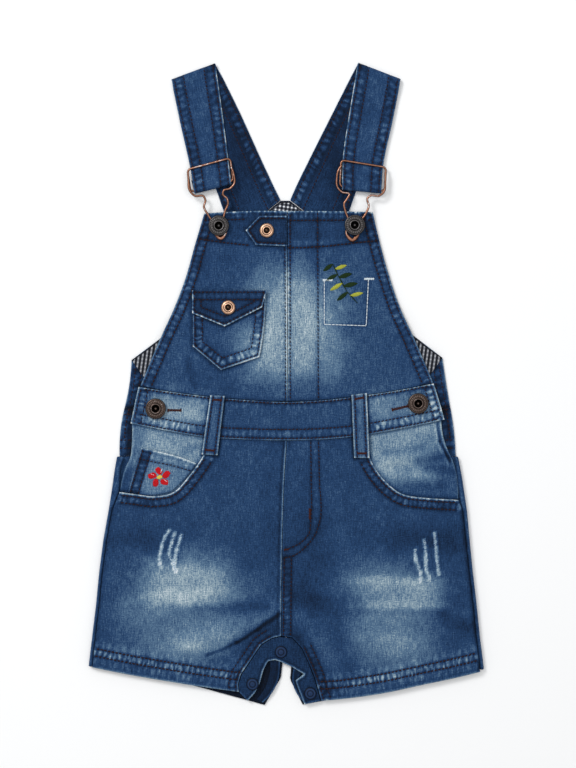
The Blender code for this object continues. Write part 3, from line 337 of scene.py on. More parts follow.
# Where the wash has bleached the front (tone above 0) or kept it deep (below 0).
FADES = (
    # left leg
    Fade(-70, -147, 42, 19, 0.34), Fade(-69, -155, 31, 6, 0.14), Fade(-60, -186, 30, 19, 0.21),
    Fade(-98, -174, 24, 20, 0.12), Fade(-96, -112, 34, 12, -0.02), Fade(-24, -130, 16, 26, -0.02),
    Fade(-9, -110, 8, 60, -0.03), Fade(-85, -137, 20, 10, 0.08), Fade(-63, -122, 14, 10, 0.07),
    Fade(-80, -195, 34, 8, 0.13), Fade(-112, -160, 22, 22, 0.05), Fade(-72, -209, 18, 7, 0.10),
    # right leg
    Fade(76, -149, 38, 16, 0.29), Fade(74, -144, 30, 4, 0.10), Fade(74, -162, 30, 4, 0.08),
    Fade(77, -189, 32, 23, 0.25), Fade(95, -112, 36, 12, -0.05), Fade(18, -130, 16, 50, -0.07),
    Fade(122, -130, 15, 60, -0.05), Fade(84, -166, 42, 8, 0.10), Fade(104, -153, 17, 15, 0.10),
    # bib
    Fade(-1, 42, 27, 38, 0.26), Fade(-12, 24, 21, 22, 0.13), Fade(12, 46, 13, 44, 0.05),
    Fade(27, 60, 17, 20, 0.16), Fade(25, 22, 18, 22, 0.08), Fade(-4, 26, 7, 14, -0.05),
    Fade(-24, 9, 15, 10, 0.07), Fade(10, 8, 9, 12, 0.09), Fade(-62, 92, 34, 16, -0.04),
    Fade(28, 28, 17, 28, 0.10), Fade(-21, 40, 8, 26, 0.12), Fade(-12, 68, 14, 24, 0.11),
    Fade(9, 74, 12, 22, 0.10), Fade(52, 40, 26, 50, 0.03),
    # waistband
    Fade(-84, -21, 26, 15, 0.31), Fade(-104, -16, 12, 14, -0.04), Fade(-66, -20, 6, 16, 0.12),
    Fade(86, -18, 26, 15, 0.21), Fade(66, -22, 8, 16, 0.08), Fade(108, -16, 8, 14, 0.12),
)

# Lines painted into the tone: mostly painted shade in folds, under the rips and beside the crotch
# placket, and painted highlight on ridges, with a few darker bands of the wash. The height of each is a tone.
CREASE_SHADE_AND_WASH = (
    # from the crotch over the left leg
    Fold(-4.6, -167.5, -20, -178.6, 1.7, -0.34), Fold(-20, -178.6, -36, -188.6, 1.2, -0.34),
    Fold(-36, -188.6, -58, -198, 1.2, -0.24), Fold(-14, -170, -46, -187, 4, 0.07),
    Fold(-28, -200, -10, -188, 6, -0.05), Fold(1.2, -128, 0.8, -182, 2.8, -0.08),
    # left leg
    Fold(-122, -115, -90, -114, 8, -0.07), Fold(-124, -150, -112, -150, 6, -0.06),
    Fold(-66, -163, -16, -162, 4.5, -0.12), Fold(-40, -139, -30, -143, 8, -0.06),
    # right leg
    Fold(54, -165.6, 117, -166.5, 3, -0.07), Fold(7, -156, 42, -163, 8, -0.09),
    Fold(80, -114, 120, -116, 8, -0.06), Fold(117, -172, 136, -178, 6, -0.07),
    Fold(7, -186, 28, -224, 4, -0.12), Fold(36, -176, 44, -206, 6, -0.05),
    # bib
    Fold(-72, 17, -66, -4, 3, -0.10), Fold(-58, 8, -40, -2, 6, -0.04),
)

# Dark and light lines on the light denim behind the scoop pockets: the first four are a dark line
# between pale ones along the vent's bound edge, and the rest are painted shade in folds and painted
# highlight on wrinkles.
FACING_SHADES = (
    Fold(110.4, -29, 112.4, -42, 1.0, -0.34), Fold(112.4, -42, 120, -57, 1.0, -0.34),
    Fold(108.6, -29, 110.4, -43, 0.7, 0.16), Fold(110.4, -43, 118.4, -58, 0.7, 0.16),
    Fold(97, -56, 121, -52, 3, -0.14), Fold(66, -62, 90, -60, 5, 0.06), Fold(95, -66, 106, -67, 4, 0.12),
    Fold(74, -50, 100, -47, 3, -0.08), Fold(82, -75, 112, -76, 4, -0.08), Fold(104, -61, 122, -64, 3, -0.1),
    Fold(-66, -46, -76, -50, 3, -0.08), Fold(-104, -34, -111, -52, 3, -0.06),
)

# Rips down the front of each leg.
RIPS = {
    "left": (((-85.5, -107.2), (-89.5, -113.7), (-91.5, -121.7), (-92.5, -128.7), (-91.5, -133.7)),
             ((-81.5, -108.7), (-84.0, -117.7), (-85.5, -124.7), (-82.5, -130.7), (-80.5, -136.7)),
             ((-76.5, -109.7), (-78.5, -116.7), (-80.5, -123.7), (-81.5, -129.7), (-81.5, -134.7))),
    "right": (((94.2, -119.8), (94.7, -128.5), (97.3, -135.6), (97.8, -143.7)),
              ((100.8, -113.7), (101.9, -125.4), (102.4, -135.6), (104.9, -142.7)),
              ((108.0, -108.6), (109.0, -118.3), (110.0, -130.5), (111.6, -138.7))),
}

# Satin stitch: a leaf sprig on the bib and a flower on the coin pocket.
SPRIG = (
    Leaf(34, 87.5, 38, 79, 1.3, "leaf"), Leaf(38, 79, 44, 68, 1.3, "leaf"), Leaf(44, 68, 52, 59, 1.2, "leaf"),
    Leaf(34, 87.5, 27, 82.5, 4.0, "leaf"), Leaf(35.6, 84, 44, 86.6, 3.8, "lime"),
    Leaf(37.5, 80, 29, 75.4, 4.2, "leaf"), Leaf(38.2, 78, 48, 80.4, 4.4, "leaf"),
    Leaf(41, 73.5, 32, 68.4, 4.0, "lime"), Leaf(41.6, 71.5, 52, 73.4, 4.6, "leaf"),
    Leaf(45, 67, 37, 61, 4.2, "leaf"), Leaf(46.6, 64.5, 56, 66.4, 3.8, "lime"),
)
FLOWER_X, FLOWER_Y = -92.5, -68
FLOWER = tuple(
    Leaf(FLOWER_X + 2.2 * math.cos(turn), FLOWER_Y + 1.9 * math.sin(turn),
         FLOWER_X + 8.6 * math.cos(turn), FLOWER_Y + 7.4 * math.sin(turn), 6.6, "red")
    for turn in np.radians((95, 167, 239, 311, 23))
) + (
    Leaf(-94.6, -68, -90.4, -68, 4.2, "yellow"), Leaf(-91.6, -64.6, -90.6, -61.8, 0.9, "white"),
    Leaf(-96.4, -66.6, -98.8, -65.6, 0.9, "white"), Leaf(-89.2, -69.8, -87, -71.4, 0.9, "white"),
)

# Profiles of the round pieces, from the middle of the top outwards. Heights are from the piece's foot
# unless a comment says otherwise, and radii on a rim are from the piece's own radius.
# the bright tone at the middle of a shank button's well is a painted glint
SHANK_WELL = (    # heights from the top of the shank
    Profile(0, 1.0, 0.62), Profile(0.45, 0.98, 0.5), Profile(0.8, 0.92, 0.0), Profile(2.3, 0.9, 0.0),
    Profile(2.6, 1.4, 0.0),
)
SHANK_FACE = (    # heights from the top of the cap
    Profile(2.75, -0.35, 0.0), Profile(2.95, -0.1, 0.4), Profile(3.3, 0, 0.8), Profile(3.7, -0.06, 0.35),
    Profile(4.0, -0.3, 0.0), Profile(4.4, -0.34, 0.3, 0.05), Profile(5.0, -0.34, 0.5, 0.1),
    Profile(5.7, -0.38, 0.5, 0.1), Profile(6.1, -0.44, 0.3, 0.05), Profile(6.35, -0.5, 0.0),
    Profile(6.6, -0.42, 0.4),
)
SHANK_RIM = (    # heights from the top of the cap
    Profile(-0.5, -0.5, 0.6), Profile(-0.15, -0.8, 0.2), Profile(0, -1.2, 0.0), Profile(-0.15, -1.7, 0.2),
)
RING_FACE = (
    Profile(0, 0.8, 0.06), Profile(0.6, 0.75, 0.04), Profile(0.9, 0.5, 0.0), Profile(2.0, 0.5, 0.0),
    Profile(2.15, 1.2, 0.0), Profile(2.25, 1.55, 0.2), Profile(2.5, 1.7, 0.6), Profile(2.95, 1.64, 0.45),
    Profile(3.1, 1.52, 0.0), Profile(3.4, 1.52, 0.0), Profile(3.6, 1.72, 0.45), Profile(4.05, 1.7, 0.6),
    Profile(4.5, 1.45, 0.5), Profile(4.95, 1.05, 0.3),
)
RING_RIM = (Profile(-0.05, 0.7, 0.35), Profile(0, 0.45, 0.2), Profile(-0.2, 0, 0.1))
# the dark tone round a snap's rim is painted shade
SNAP_FACE = (
    Profile(0, 1.5, 0.6), Profile(0.9, 1.48, 0.9), Profile(1.5, 1.4, 0.8), Profile(2.0, 1.12, 0.15),
    Profile(2.4, 1.08, 0.15), Profile(2.8, 1.15, 0.85), Profile(3.4, 1.0, 0.9), Profile(3.75, 0.9, 0.5),
    Profile(3.95, 0.8, 0.0),
)
SNAP_RIM = (Profile(-0.2, 0.66, 0.0), Profile(0, 0.42, 0.0), Profile(-0.2, 0, 0.0))

# Yarns of the denim: waves per millimetre across and along the cloth, roughness of the noise, and how
# much each counts for the tone.
DENIM_YARNS = (Yarn(1.25, 0.17, 0.6, 1.15), Yarn(0.25, 1.2, 0.6, 0.7), Yarn(1.1, 1.1, 0.7, 1.4))
# Tone at which each colour of the wash is reached.
WASH_STOPS = {"deep": 0.0, "dark": 0.2, "mid": 0.4, "washed": 0.62, "pale": 0.82, "bare": 1.0}
# Gingham: the check's repeat in mm, the white share of it, and its colours from white to piping.
CHECK_REPEAT, CHECK_WHITE = 2.9, 0.4
CHECK_STOPS = ((0.0, (0.78, 0.8, 0.82)), (0.5, (0.085, 0.095, 0.125)), (0.75, (0.012, 0.014, 0.02)),
               (1.0, (0.006, 0.007, 0.012)))


# ---------------------------------------------------------------- settings

def length(name, default, description):
    """A size in metres."""
    return bpy.props.FloatProperty(name=name, description=description, default=default, min=0.0,
                                   precision=5, subtype="DISTANCE", unit="LENGTH")


def colour(name, default, description):
    """A colour without alpha."""
    return bpy.props.FloatVectorProperty(name=name, description=description, default=default, size=3,
                                         min=0.0, max=1.0, subtype="COLOR")


class ShortallsCut(bpy.types.PropertyGroup):
    """Sizes of the cloth and how it lies."""
    denim: length("Denim", 0.0011, "Thickness of one denim wall")
    gingham: length("Gingham", 0.0008, "Thickness of the checked facing")
    pocketing: length("Pocketing", 0.001, "Thickness of the pale denim behind the scoop pockets")
    flap: length("Flap", 0.0012, "Thickness of the pocket flap and of the bib's tab")
    gap: length("Gap", 0.0003, "Room between one piece and the next")
    hem_rise: length("Hem rise", 0.0005, "How far a hem stands above the plain cloth")
    front_rest: length("Front rest", 0.0028, "Height of the front's underside at its lowest")
    pocketing_rest: length("Pocketing rest", 0.0015, "Height of the pocket facing's underside")
    step: length("Mesh step", 0.0012, "Distance between the mesh's points on the front")
    back_step: length("Back mesh step", 0.0026, "Distance between the mesh's points on the back")


class ShortallsWash(bpy.types.PropertyGroup):
    """Colours of the washed denim, from the deepest dye to bare threads."""
    # the deep colour shows mostly as painted shade: on the inside of the legs and in folds
    deep: colour("Deep", (0.0020, 0.0045, 0.011), "Dye in folds and on the inside")
    dark: colour("Dark", (0.0045, 0.0175, 0.051), "Hems and double layers")
    mid: colour("Mid", (0.016, 0.052, 0.138), "Plain cloth")
    washed: colour("Washed", (0.096, 0.177, 0.280), "Rim of the faded patches")
    pale: colour("Pale", (0.335, 0.437, 0.488), "Middle of the faded patches")
    bare: colour("Bare", (0.72, 0.76, 0.80), "Worn edges and torn threads")
    grain: bpy.props.FloatProperty(name="Grain", default=0.17, min=0.0, max=1.0,
                                   description="How far single yarns differ in tone")
    wale: length("Wale", 0.0007, "Distance between the twill's diagonal ribs")


class ShortallsSewing(bpy.types.PropertyGroup):
    """Threads of the topstitching."""
    pitch: length("Pitch", 0.0027, "Distance from stitch to stitch")
    width: length("Width", 0.00078, "Width of the thread")
    rise: length("Rise", 0.0004, "How far a stitch stands above the cloth")
    brown: colour("Brown", (0.029, 0.0145, 0.0165), "Topstitching")
    tack: colour("Tack", (0.058, 0.018, 0.015), "Bar tacks and buttonholes")
    white: colour("White", (0.70, 0.81, 0.95), "Outline of the mock pocket")
    leaf: colour("Leaf", (0.016, 0.036, 0.012), "Dark green of the sprig")
    lime: colour("Lime", (0.42, 0.44, 0.06), "Yellow-green of the sprig")
    red: colour("Red", (0.56, 0.012, 0.018), "Petals")
    torn: colour("Torn", (0.46, 0.60, 0.72), "Threads of the rips")
    yellow: colour("Yellow", (0.80, 0.62, 0.10), "Middle of the flower")


class ShortallsMetal(bpy.types.PropertyGroup):
    """Wire, buttons and snaps."""
    wire: length("Wire", 0.0016, "Diameter of the wire")
    wire_rest: length("Wire rest", 0.00365, "Height of the slide's wire")
    hook_rest: length("Hook rest", 0.0056, "Height of the hook's wire")
    shank_button: length("Shank button", 0.015, "Diameter of a shank button")
    ring_button: length("Ring button", 0.0106, "Diameter of a copper ring button")
    snap: length("Snap", 0.0092, "Diameter of a snap cap")
    copper: colour("Copper", (0.20, 0.09, 0.055), "Wire of the slides and hooks")
    rose: colour("Rose", (0.60, 0.36, 0.24), "Ring buttons")
    antique: colour("Antique", (0.070, 0.050, 0.042), "Side buttons")
    gunmetal: colour("Gunmetal", (0.058, 0.054, 0.054), "Bib buttons")
    enamel: colour("Enamel", (0.006, 0.018, 0.052), "Snap caps")


class ShortallsStudio(bpy.types.PropertyGroup):
    """Camera, lights and table."""
    lens: bpy.props.FloatProperty(name="Lens", default=85.0, min=10.0, subtype="DISTANCE_CAMERA",
                                  description="Focal length on a 36 mm sensor")
    view_height: length("View height", 0.5606, "Height of the table that the picture takes in")
    aside: length("Aside", 0.0013, "How far the picture's middle lies to the right of the garment's")
    key: bpy.props.FloatProperty(name="Key", default=26.0, min=0.0, subtype="POWER",
                                 description="Power of the side light in watts")
    top: bpy.props.FloatProperty(name="Top", default=10.0, min=0.0, subtype="POWER",
                                 description="Power of the overhead light in watts")
    sky: bpy.props.FloatProperty(name="Sky", default=0.55, min=0.0,
                                 description="Strength of the room's light")
    table: colour("Table", (0.97, 0.97, 0.97), "Table top")


SETTINGS = {"shortalls_cut": ShortallsCut, "shortalls_wash": ShortallsWash,
            "shortalls_sewing": ShortallsSewing, "shortalls_metal": ShortallsMetal,
            "shortalls_studio": ShortallsStudio}


def cut(name):
    """A size of the cloth in millimetres."""
    return getattr(bpy.context.scene.shortalls_cut, name) / MM


# ---------------------------------------------------------------- lines and patches

def smooth(points, shares):
    """Places along a smooth line through points, for shares of its length from 0 to 1: on each
    stretch a cubic whose ends are the points and whose slopes there are the neighbours' mean."""
    points = np.array(points, float)
    runs = np.linalg.norm(np.diff(points, axis=0), axis=1)
    knots = np.concatenate(([0.0], np.cumsum(runs))) / runs.sum()
    if len(points) == 2:
        slopes = np.repeat(points[1:] - points[:1], 2, axis=0)
    else:
        slopes = np.gradient(points, knots, axis=0, edge_order=2)
    shares = np.asarray(shares, float)
    first = np.clip(np.searchsorted(knots, shares, side="right") - 1, 0, len(points) - 2)
    step = (knots[first + 1] - knots[first])[:, None]
    part = (shares - knots[first])[:, None] / step
    rise = part * part * (3 - 2 * part)
    start_pull = part * (1 - part) ** 2 * step
    end_pull = part * part * (part - 1) * step
    return (points[first] * (1 - rise) + points[first + 1] * rise
            + slopes[first] * start_pull + slopes[first + 1] * end_pull)


def line(*runs):
    """A line of smooth runs that meet at corners; each run is its end's share and its points."""
    def place(shares):
        shares = np.asarray(shares, float)
        flat = np.clip(shares.ravel(), 0.0, 1.0)
        places = np.empty((flat.size, 2))
        start = 0.0
        for end, points in runs:
            mine = (flat >= start) & (flat <= end)
            places[mine] = smooth(points, (flat[mine] - start) / (end - start))
            start = end
        return places.reshape(shares.shape + (2,))
    return place


def curve(points, side=None):
    """A line of one smooth run through points, or through the points of a side's table."""
    return line((1.0, outwards(points, side) if side else points))


def patch(inner, outer, top, bottom, across, along):
    """Plan of a panel between four lines: the mean of the two ways of filling in between opposite
    lines, less the plain blend of the four corners."""
    across = np.broadcast_to(across, (len(along), len(across)))
    down = np.broadcast_to(np.asarray(along, float)[:, None], across.shape)
    u = across[..., None]
    v = down[..., None]
    corners = ((1 - u) * (1 - v) * top(0.0) + u * (1 - v) * top(1.0)
               + (1 - u) * v * bottom(0.0) + u * v * bottom(1.0))
    return (1 - u) * inner(down) + u * outer(down) + (1 - v) * top(across) + v * bottom(across) - corners


def outwards(points, side):
    """World x and y of a side's table."""
    return [(SIDES[side] * x, y) for x, y in points]


def straight(start, end, points):
    """Straight runs through points, for a line's shares from start to end."""
    lengths = [math.dist(a, b) for a, b in zip(points, points[1:])]
    ends = start + (end - start) * np.cumsum(lengths) / sum(lengths)
    return list(zip(ends, zip(points, points[1:])))


def part_of(points, low, high, count):
    """The stretch of a smooth line between two values of x, as count points."""
    dense = smooth(points, np.linspace(0, 1, 200))
    order = np.argsort(dense[:, 0])
    x = np.linspace(low, high, count)
    return list(zip(x, np.interp(x, dense[order, 0], dense[order, 1])))


def shifted(points, x=0.0, y=0.0):
    """The same points moved by x and y."""
    return [(px + x, py + y) for px, py in points]


def steps(size, step=None):
    """Shares across a panel of a size in millimetres: one at about every step, and close together in
    the last millimetre, where its edge is rounded."""
    near = np.array(RIM_PLACES) / size
    count = max(1, int(size / (step or cut("step"))))
    return np.concatenate((near, np.linspace(near[-1], 1 - near[-1], count + 2)[1:-1], 1 - near[::-1]))


def spaced(points, count=EDGE_PLACES, start=0.0, end=1.0):
    """Evenly spaced places along a smooth line."""
    return smooth(points, np.linspace(start, end, count))


def inset(points, distance):
    """The line moved to its right-hand side by a distance, as seen from above."""
    points = np.array(points, float)
    run = np.gradient(points, axis=0)
    run /= np.linalg.norm(run, axis=1, keepdims=True)
    return points + distance * np.stack((run[:, 1], -run[:, 0]), axis=1)


def nearest(x, y, points):
    """Distance to a line of straight stretches, and how far along it the nearest place lies."""
    best = np.full(x.shape, np.inf)
    along = np.zeros(x.shape)
    start = 0.0
    for (x0, y0), (x1, y1) in zip(points[:-1], points[1:]):
        run = math.hypot(x1 - x0, y1 - y0)
        if run == 0:
            continue
        part = np.clip(((x - x0) * (x1 - x0) + (y - y0) * (y1 - y0)) / run ** 2, 0, 1)
        distance = np.hypot(x - x0 - part * (x1 - x0), y - y0 - part * (y1 - y0))
        closer = distance < best
        best = np.where(closer, distance, best)
        along = np.where(closer, start + part * run, along)
        start += run
    return best, along


def distance_to(points, plan):
    """Distance from each place of a plan to a line of straight stretches."""
    return nearest(plan[..., 0], plan[..., 1], points)[0]


def mottle(x, y, size, seed):
    """Soft noise from -1 to 1: random values on a square lattice of the given size, eased between."""
    count = 61
    lattice = np.random.default_rng(seed).uniform(-1, 1, (count, count))
    u, v = np.asarray(x) / size + 0.37 * seed, np.asarray(y) / size + 0.61 * seed
    i, j = np.floor(u).astype(int), np.floor(v).astype(int)
    a, b = u - i, v - j
    a, b = a * a * (3 - 2 * a), b * b * (3 - 2 * b)
    i0, i1, j0, j1 = i % count, (i + 1) % count, j % count, (j + 1) % count
    return ((lattice[i0, j0] * (1 - a) + lattice[i1, j0] * a) * (1 - b)
            + (lattice[i0, j1] * (1 - a) + lattice[i1, j1] * a) * b)


# ---------------------------------------------------------------- heights and tone

def ridges(x, y, folds):
    """Height of a set of folds: each falls off as a bell beside its line and towards its ends."""
    height = np.zeros(np.shape(x))
    for fold in folds:
        run = np.array((fold.x1 - fold.x0, fold.y1 - fold.y0), float)
        size = np.hypot(*run)
        along = ((x - fold.x0) * run[0] + (y - fold.y0) * run[1]) / size
        beside = ((x - fold.x0) * run[1] - (y - fold.y0) * run[0]) / size
        past_end = np.maximum(0, np.maximum(-along, along - size))
        height += fold.height * np.exp(-(beside ** 2 + past_end ** 2) / fold.width ** 2)
    return height


def swell(x, y):
    """Broad lift of the front by the air under it: the sum of bells."""
    return sum(s.height * np.exp(-((x - s.x) / s.reach_x) ** 2 - ((y - s.y) / s.reach_y) ** 2)
               for s in SWELLS)


def front_under(x, y):
    """Underside of the front panels: their rest, the swells and the folds."""
    return cut("front_rest") + swell(x, y) + ridges(x, y, FOLDS)


def faded(x, y):
    """Tone that the wash adds: the sum of flat-topped ovals and of creases, bent by soft noise."""
    wander_x = x + 3.5 * mottle(x, y, 9, 3) + 1.2 * mottle(x, y, 3, 4)
    wander_y = y + 2.5 * mottle(x, y, 8, 5) + 1.2 * mottle(x, y, 3, 6)
    total = np.zeros(np.shape(x))
    for fade in FADES:
        reach = ((wander_x - fade.x) / fade.reach_x) ** 2 + ((wander_y - fade.y) / fade.reach_y) ** 2
        total += fade.tone * np.exp(-reach ** 1.5)
    # the dark and light lines: painted shade and highlight along folds, with a few bands of the wash
    return total + ridges(0.8 * x + 0.2 * wander_x, 0.8 * y + 0.2 * wander_y, CREASE_SHADE_AND_WASH)


def ease(value, low, high):
    """0 up to low, 1 from high, and a smooth rise between."""
    share = np.clip((value - low) / (high - low), 0, 1)
    return share * share * (3 - 2 * share)


def fall(value, low, high):
    """1 up to low, 0 from high, and a smooth fall between."""
    return 1 - ease(value, low, high)


def bell(distance, width, at=0.0):
    """1 at a distance, and a bell-shaped fall on both sides of it."""
    return np.exp(-((distance - at) / width) ** 2)


def puckers(along, x, y, pitch, seed):
    """Roping of a sewn band, from 0 to 1: a cosine arch at every pitch, bent and broken up."""
    turn = (along / pitch + 0.4 * mottle(along, 0 * along, 2.4 * pitch, seed)
            + 0.32 * mottle(x, y, 0.8 * pitch, seed + 2))
    uneven = 0.62 + 0.38 * mottle(x, y, 0.7 * pitch, seed + 1)
    return uneven * (0.5 + 0.5 * np.cos(2 * np.pi * turn))


# ---------------------------------------------------------------- meshes

def outward(points, faces):
    """The faces, all turned over if the closed shape's signed volume is negative."""
    a, b, c = (points[faces[:, k]] for k in (0, 1, 2))
    volume = np.einsum("ij,ij->i", a, np.cross(b, c)).sum()
    if faces.shape[1] == 4:
        volume += np.einsum("ij,ij->i", a, np.cross(c, points[faces[:, 3]])).sum()
    return faces if volume > 0 else faces[:, ::-1]


def solid(name, points, faces, material, tone=None, plan=None):
    """Mesh object at the origin from arrays in millimetres, with its tone and its cloth's plan."""
    faces = outward(points, np.asarray(faces))
    mesh = bpy.data.meshes.new(name)
    mesh.vertices.add(len(points))
    mesh.vertices.foreach_set("co", (points * MM).ravel())
    mesh.loops.add(faces.size)
    mesh.loops.foreach_set("vertex_index", faces.ravel())
    mesh.polygons.add(len(faces))
    mesh.polygons.foreach_set("loop_start", np.arange(len(faces)) * faces.shape[1])
    mesh.update(calc_edges=True)
    mesh.shade_smooth()
    if tone is not None:
        mesh.attributes.new("tone", "FLOAT", "POINT").data.foreach_set("value", np.clip(tone, 0, 1))
    if plan is not None:
        layer = mesh.uv_layers.new(name="cloth")
        layer.data.foreach_set("uv", (plan[faces.ravel()] * MM).ravel())
    mesh.validate()
    mesh.materials.append(material)
    obj = bpy.data.objects.new(name, mesh)
    bpy.context.scene.collection.objects.link(obj)
    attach(obj, "root")
    return obj


def wall(name, middle, half, normal, tone, under_tone, plan, material):
    """Closed wall of cloth: each point of a middle surface moved out along the normal and back by
    half the thickness, which comes down to nothing on the rim, as a quarter circle does."""
    rows, columns = middle.shape[:2]
    high = middle + normal * half[..., None]
    low = middle - normal * half[..., None]
    within = np.zeros((rows, columns), bool)
    within[1:-1, 1:-1] = True
    index = np.arange(rows * columns).reshape(rows, columns)
    under = index.copy()
    under[within] = rows * columns + np.arange(within.sum())
    points = np.concatenate((high.reshape(-1, 3), low[within]))
    tones = np.concatenate((tone.ravel(), np.broadcast_to(under_tone, tone.shape)[within]))
    plans = np.concatenate((plan.reshape(-1, 2), plan[within]))

    def cells(grid):
        return np.stack((grid[:-1, :-1], grid[:-1, 1:], grid[1:, 1:], grid[1:, :-1]), -1).reshape(-1, 4)

    faces = np.concatenate((cells(index), cells(under)[:, ::-1]))
    return solid(name, points, faces, material, tones, plans)


def halved(quads):
    """Each four-sided face as two triangles."""
    return np.concatenate((quads[:, (0, 1, 2)], quads[:, (0, 2, 3)]))


def ring_faces(grid):
    """Four-sided faces between the rows of a grid of points, where each row is a closed ring."""
    around = np.roll(grid, -1, axis=1)
    return np.stack((grid[:-1], around[:-1], around[1:], grid[1:]), -1).reshape(-1, 4)


def square_to(middle, turn):
    """Unit direction square to a surface at each of its points; a turn of -1 takes the other side."""
    normal = np.cross(np.gradient(middle, axis=0), np.gradient(middle, axis=1)) * turn
    return normal / np.linalg.norm(normal, axis=2, keepdims=True)


def rounded_rim(distance, thickness):
    """Share of the full thickness at a distance from the rim: a quarter circle of its own radius."""
    share = np.clip(distance / (thickness / 2), 0, 1)
    return np.sqrt(1 - (1 - share) ** 2)


def declare(nodes):
    """Say which solids a sheet stands for, its finish and the size it was cut to."""
    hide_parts(*nodes)


def borders(plan):
    """The four border lines of a panel's plan, thinned to sixty places at most."""
    lines = {"inner": plan[:, 0], "outer": plan[:, -1], "top": plan[0], "bottom": plan[-1]}
    return {name: points[np.unique(np.linspace(0, len(points) - 1, 60).astype(int))]
            for name, points in lines.items()}


def panel(node, plan, under, thickness, tone, worn, bands=(), rows=(), shadows=(), wash=1.0,
          under_tone=0.3, seed=1, tint=0.0):
    """One flat-laid piece of denim with its rim, its puckered bands, its sewing and its wash.
    Thickness: the cloth's, with the bands' puckers and less a groove under each row. Tone: the
    piece's own, with the wash, the puckers and the worn borders, less a dark line at each row and
    a shadow beside each neighbour that lies on the piece."""
    x, y = plan[..., 0], plan[..., 1]
    rim = np.full(x.shape, np.inf)
    # wash weighs both the wash's fades and the painted fold shade and highlight that come with them
    shade = (tone + wash * faded(x, y) + 0.02 * mottle(x, y, 11, seed)
             + 0.022 * mottle(x, y, 4, seed + 1) + tint)
    relief = 0.05 * mottle(x, y, 7, seed + 2)
    for name, border in borders(plan).items():
        distance, along = nearest(x, y, border)
        rim = np.minimum(rim, distance)
        strength = worn.get(name, 0.0)
        fray = (0.8 + 0.16 * mottle(along, 0 * along, 3.5, seed + 3)
                + 0.22 * mottle(along, 0 * along, 11, seed + 4))
        shade = shade + strength * fray * bell(distance, 0.8, at=0.35)
        shade = shade - 0.25 * strength * bell(distance, 0.8, at=1.9)
    for number, band in enumerate(bands):
        distance, along = nearest(x, y, band.points)
        window = fall(distance, band.reach * 0.7, band.reach * 1.2)
        pucker = puckers(along, x, y, band.pitch, seed + 10 + 3 * number)
        shade = shade + window * band.tone * (1.9 * pucker - 0.42)
        relief = relief + window * (0.3 * pucker - 0.05)
    for row in rows:
        distance = distance_to(row.points, plan)
        # painted shade along each row, in its groove
        shade = shade - row.weight * (0.10 * bell(distance, 1.5) + 0.06 * bell(distance, 0.6))
        relief = relief - GROOVE_DEPTH * bell(distance, 0.7)
    for shadow in shadows:
        shade = shade - shadow.tone * bell(distance_to(shadow.points, plan), shadow.width)
    relief = relief * ease(rim, 0.2, 1.2)
    thickness = thickness + relief
    half = thickness / 2 * rounded_rim(rim, thickness)
    middle = np.dstack((plan, under + thickness / 2))
    piece = wall(f"{node}_cloth", middle, half, UP, shade, under_tone, plan, denim_material())
    thread = sew(piece, rows, seed)
    declare([node])
    return piece


# ---------------------------------------------------------------- threads

def threads(name, centres, headings, sizes, width, rise, material):
    """Stitches as one mesh: each is five rings of a five-sided tube, thin at its ends and thickest
    at its middle, bowed up by its rise and sunk at both ends."""
    width = np.broadcast_to(width, len(centres))[:, None, None, None]
    along = np.array((-1, -0.62, 0, 0.62, 1)) / 2
    fat = np.array((0.12, 0.85, 1, 0.85, 0.12))
    bow = np.array((-0.55, 0.2, 0.5, 0.2, -0.55))
    turn = np.radians((90, 162, 234, 306, 18))
    heading = headings / np.linalg.norm(headings, axis=1, keepdims=True)
    aside = np.stack((-heading[:, 1], heading[:, 0], np.zeros(len(heading))), 1)
    aside /= np.maximum(np.linalg.norm(aside, axis=1, keepdims=True), 1e-9)
    up = np.cross(heading, aside)
    ring = fat[:, None, None] * np.cos(turn)[None, :, None]
    lift = fat[:, None] * np.sin(turn)[None, :] * rise / 2 + bow[:, None] * rise
    points = (centres[:, None, None, :]
              + along[None, :, None, None] * (np.asarray(sizes)[:, None] * heading)[:, None, None, :]
              + ring[None] * (width / 2) * aside[:, None, None, :]
              + lift[None, :, :, None] * up[:, None, None, :])
    grid = np.arange(25).reshape(5, 5)
    fan = np.arange(1, 4)
    caps = np.concatenate((np.stack((0 * fan, 5 - fan, 4 - fan), 1),
                           np.stack((0 * fan, fan, fan + 1), 1) + grid[-1, 0]))
    first = np.arange(len(centres))[:, None, None] * grid.size
    quads = (first + ring_faces(grid)[None]).reshape(-1, 4)
    faces = np.concatenate((halved(quads), (first + caps[None]).reshape(-1, 3)))
    obj = solid(name, points.reshape(-1, 3), faces, material)
    return obj


def walk(points, pitch):
    """Stitches along a line, one at every pitch: the places a third of a pitch before and after it."""
    points = np.array(points, float)
    runs = np.linalg.norm(np.diff(points, axis=0), axis=1)
    along = np.concatenate(([0.0], np.cumsum(runs)))
    count = max(1, int(along[-1] / pitch))
    at = (np.arange(count) + 0.5) * along[-1] / count
    return [np.stack([np.interp(at + step, along, points[:, k]) for k in range(points.shape[1])], 1)
            for step in (-pitch / 3, pitch / 3)]


def heights(tree, places):
    """Height of a piece's face at each place, and not a number where the place is off the piece."""
    found = []
    for x, y in places:
        hit = tree.ray_cast((x * MM, y * MM, 0.05), (0, 0, -1))[0]
        found.append(hit.z / MM if hit else np.nan)
    return np.array(found)


def face_tree(piece):
    """Search tree of a piece's mesh."""
    mesh = piece.data
    points = np.empty(len(mesh.vertices) * 3)
    mesh.vertices.foreach_get("co", points)
    return BVHTree.FromPolygons(points.reshape(-1, 3).tolist(), [p.vertices[:] for p in mesh.polygons])


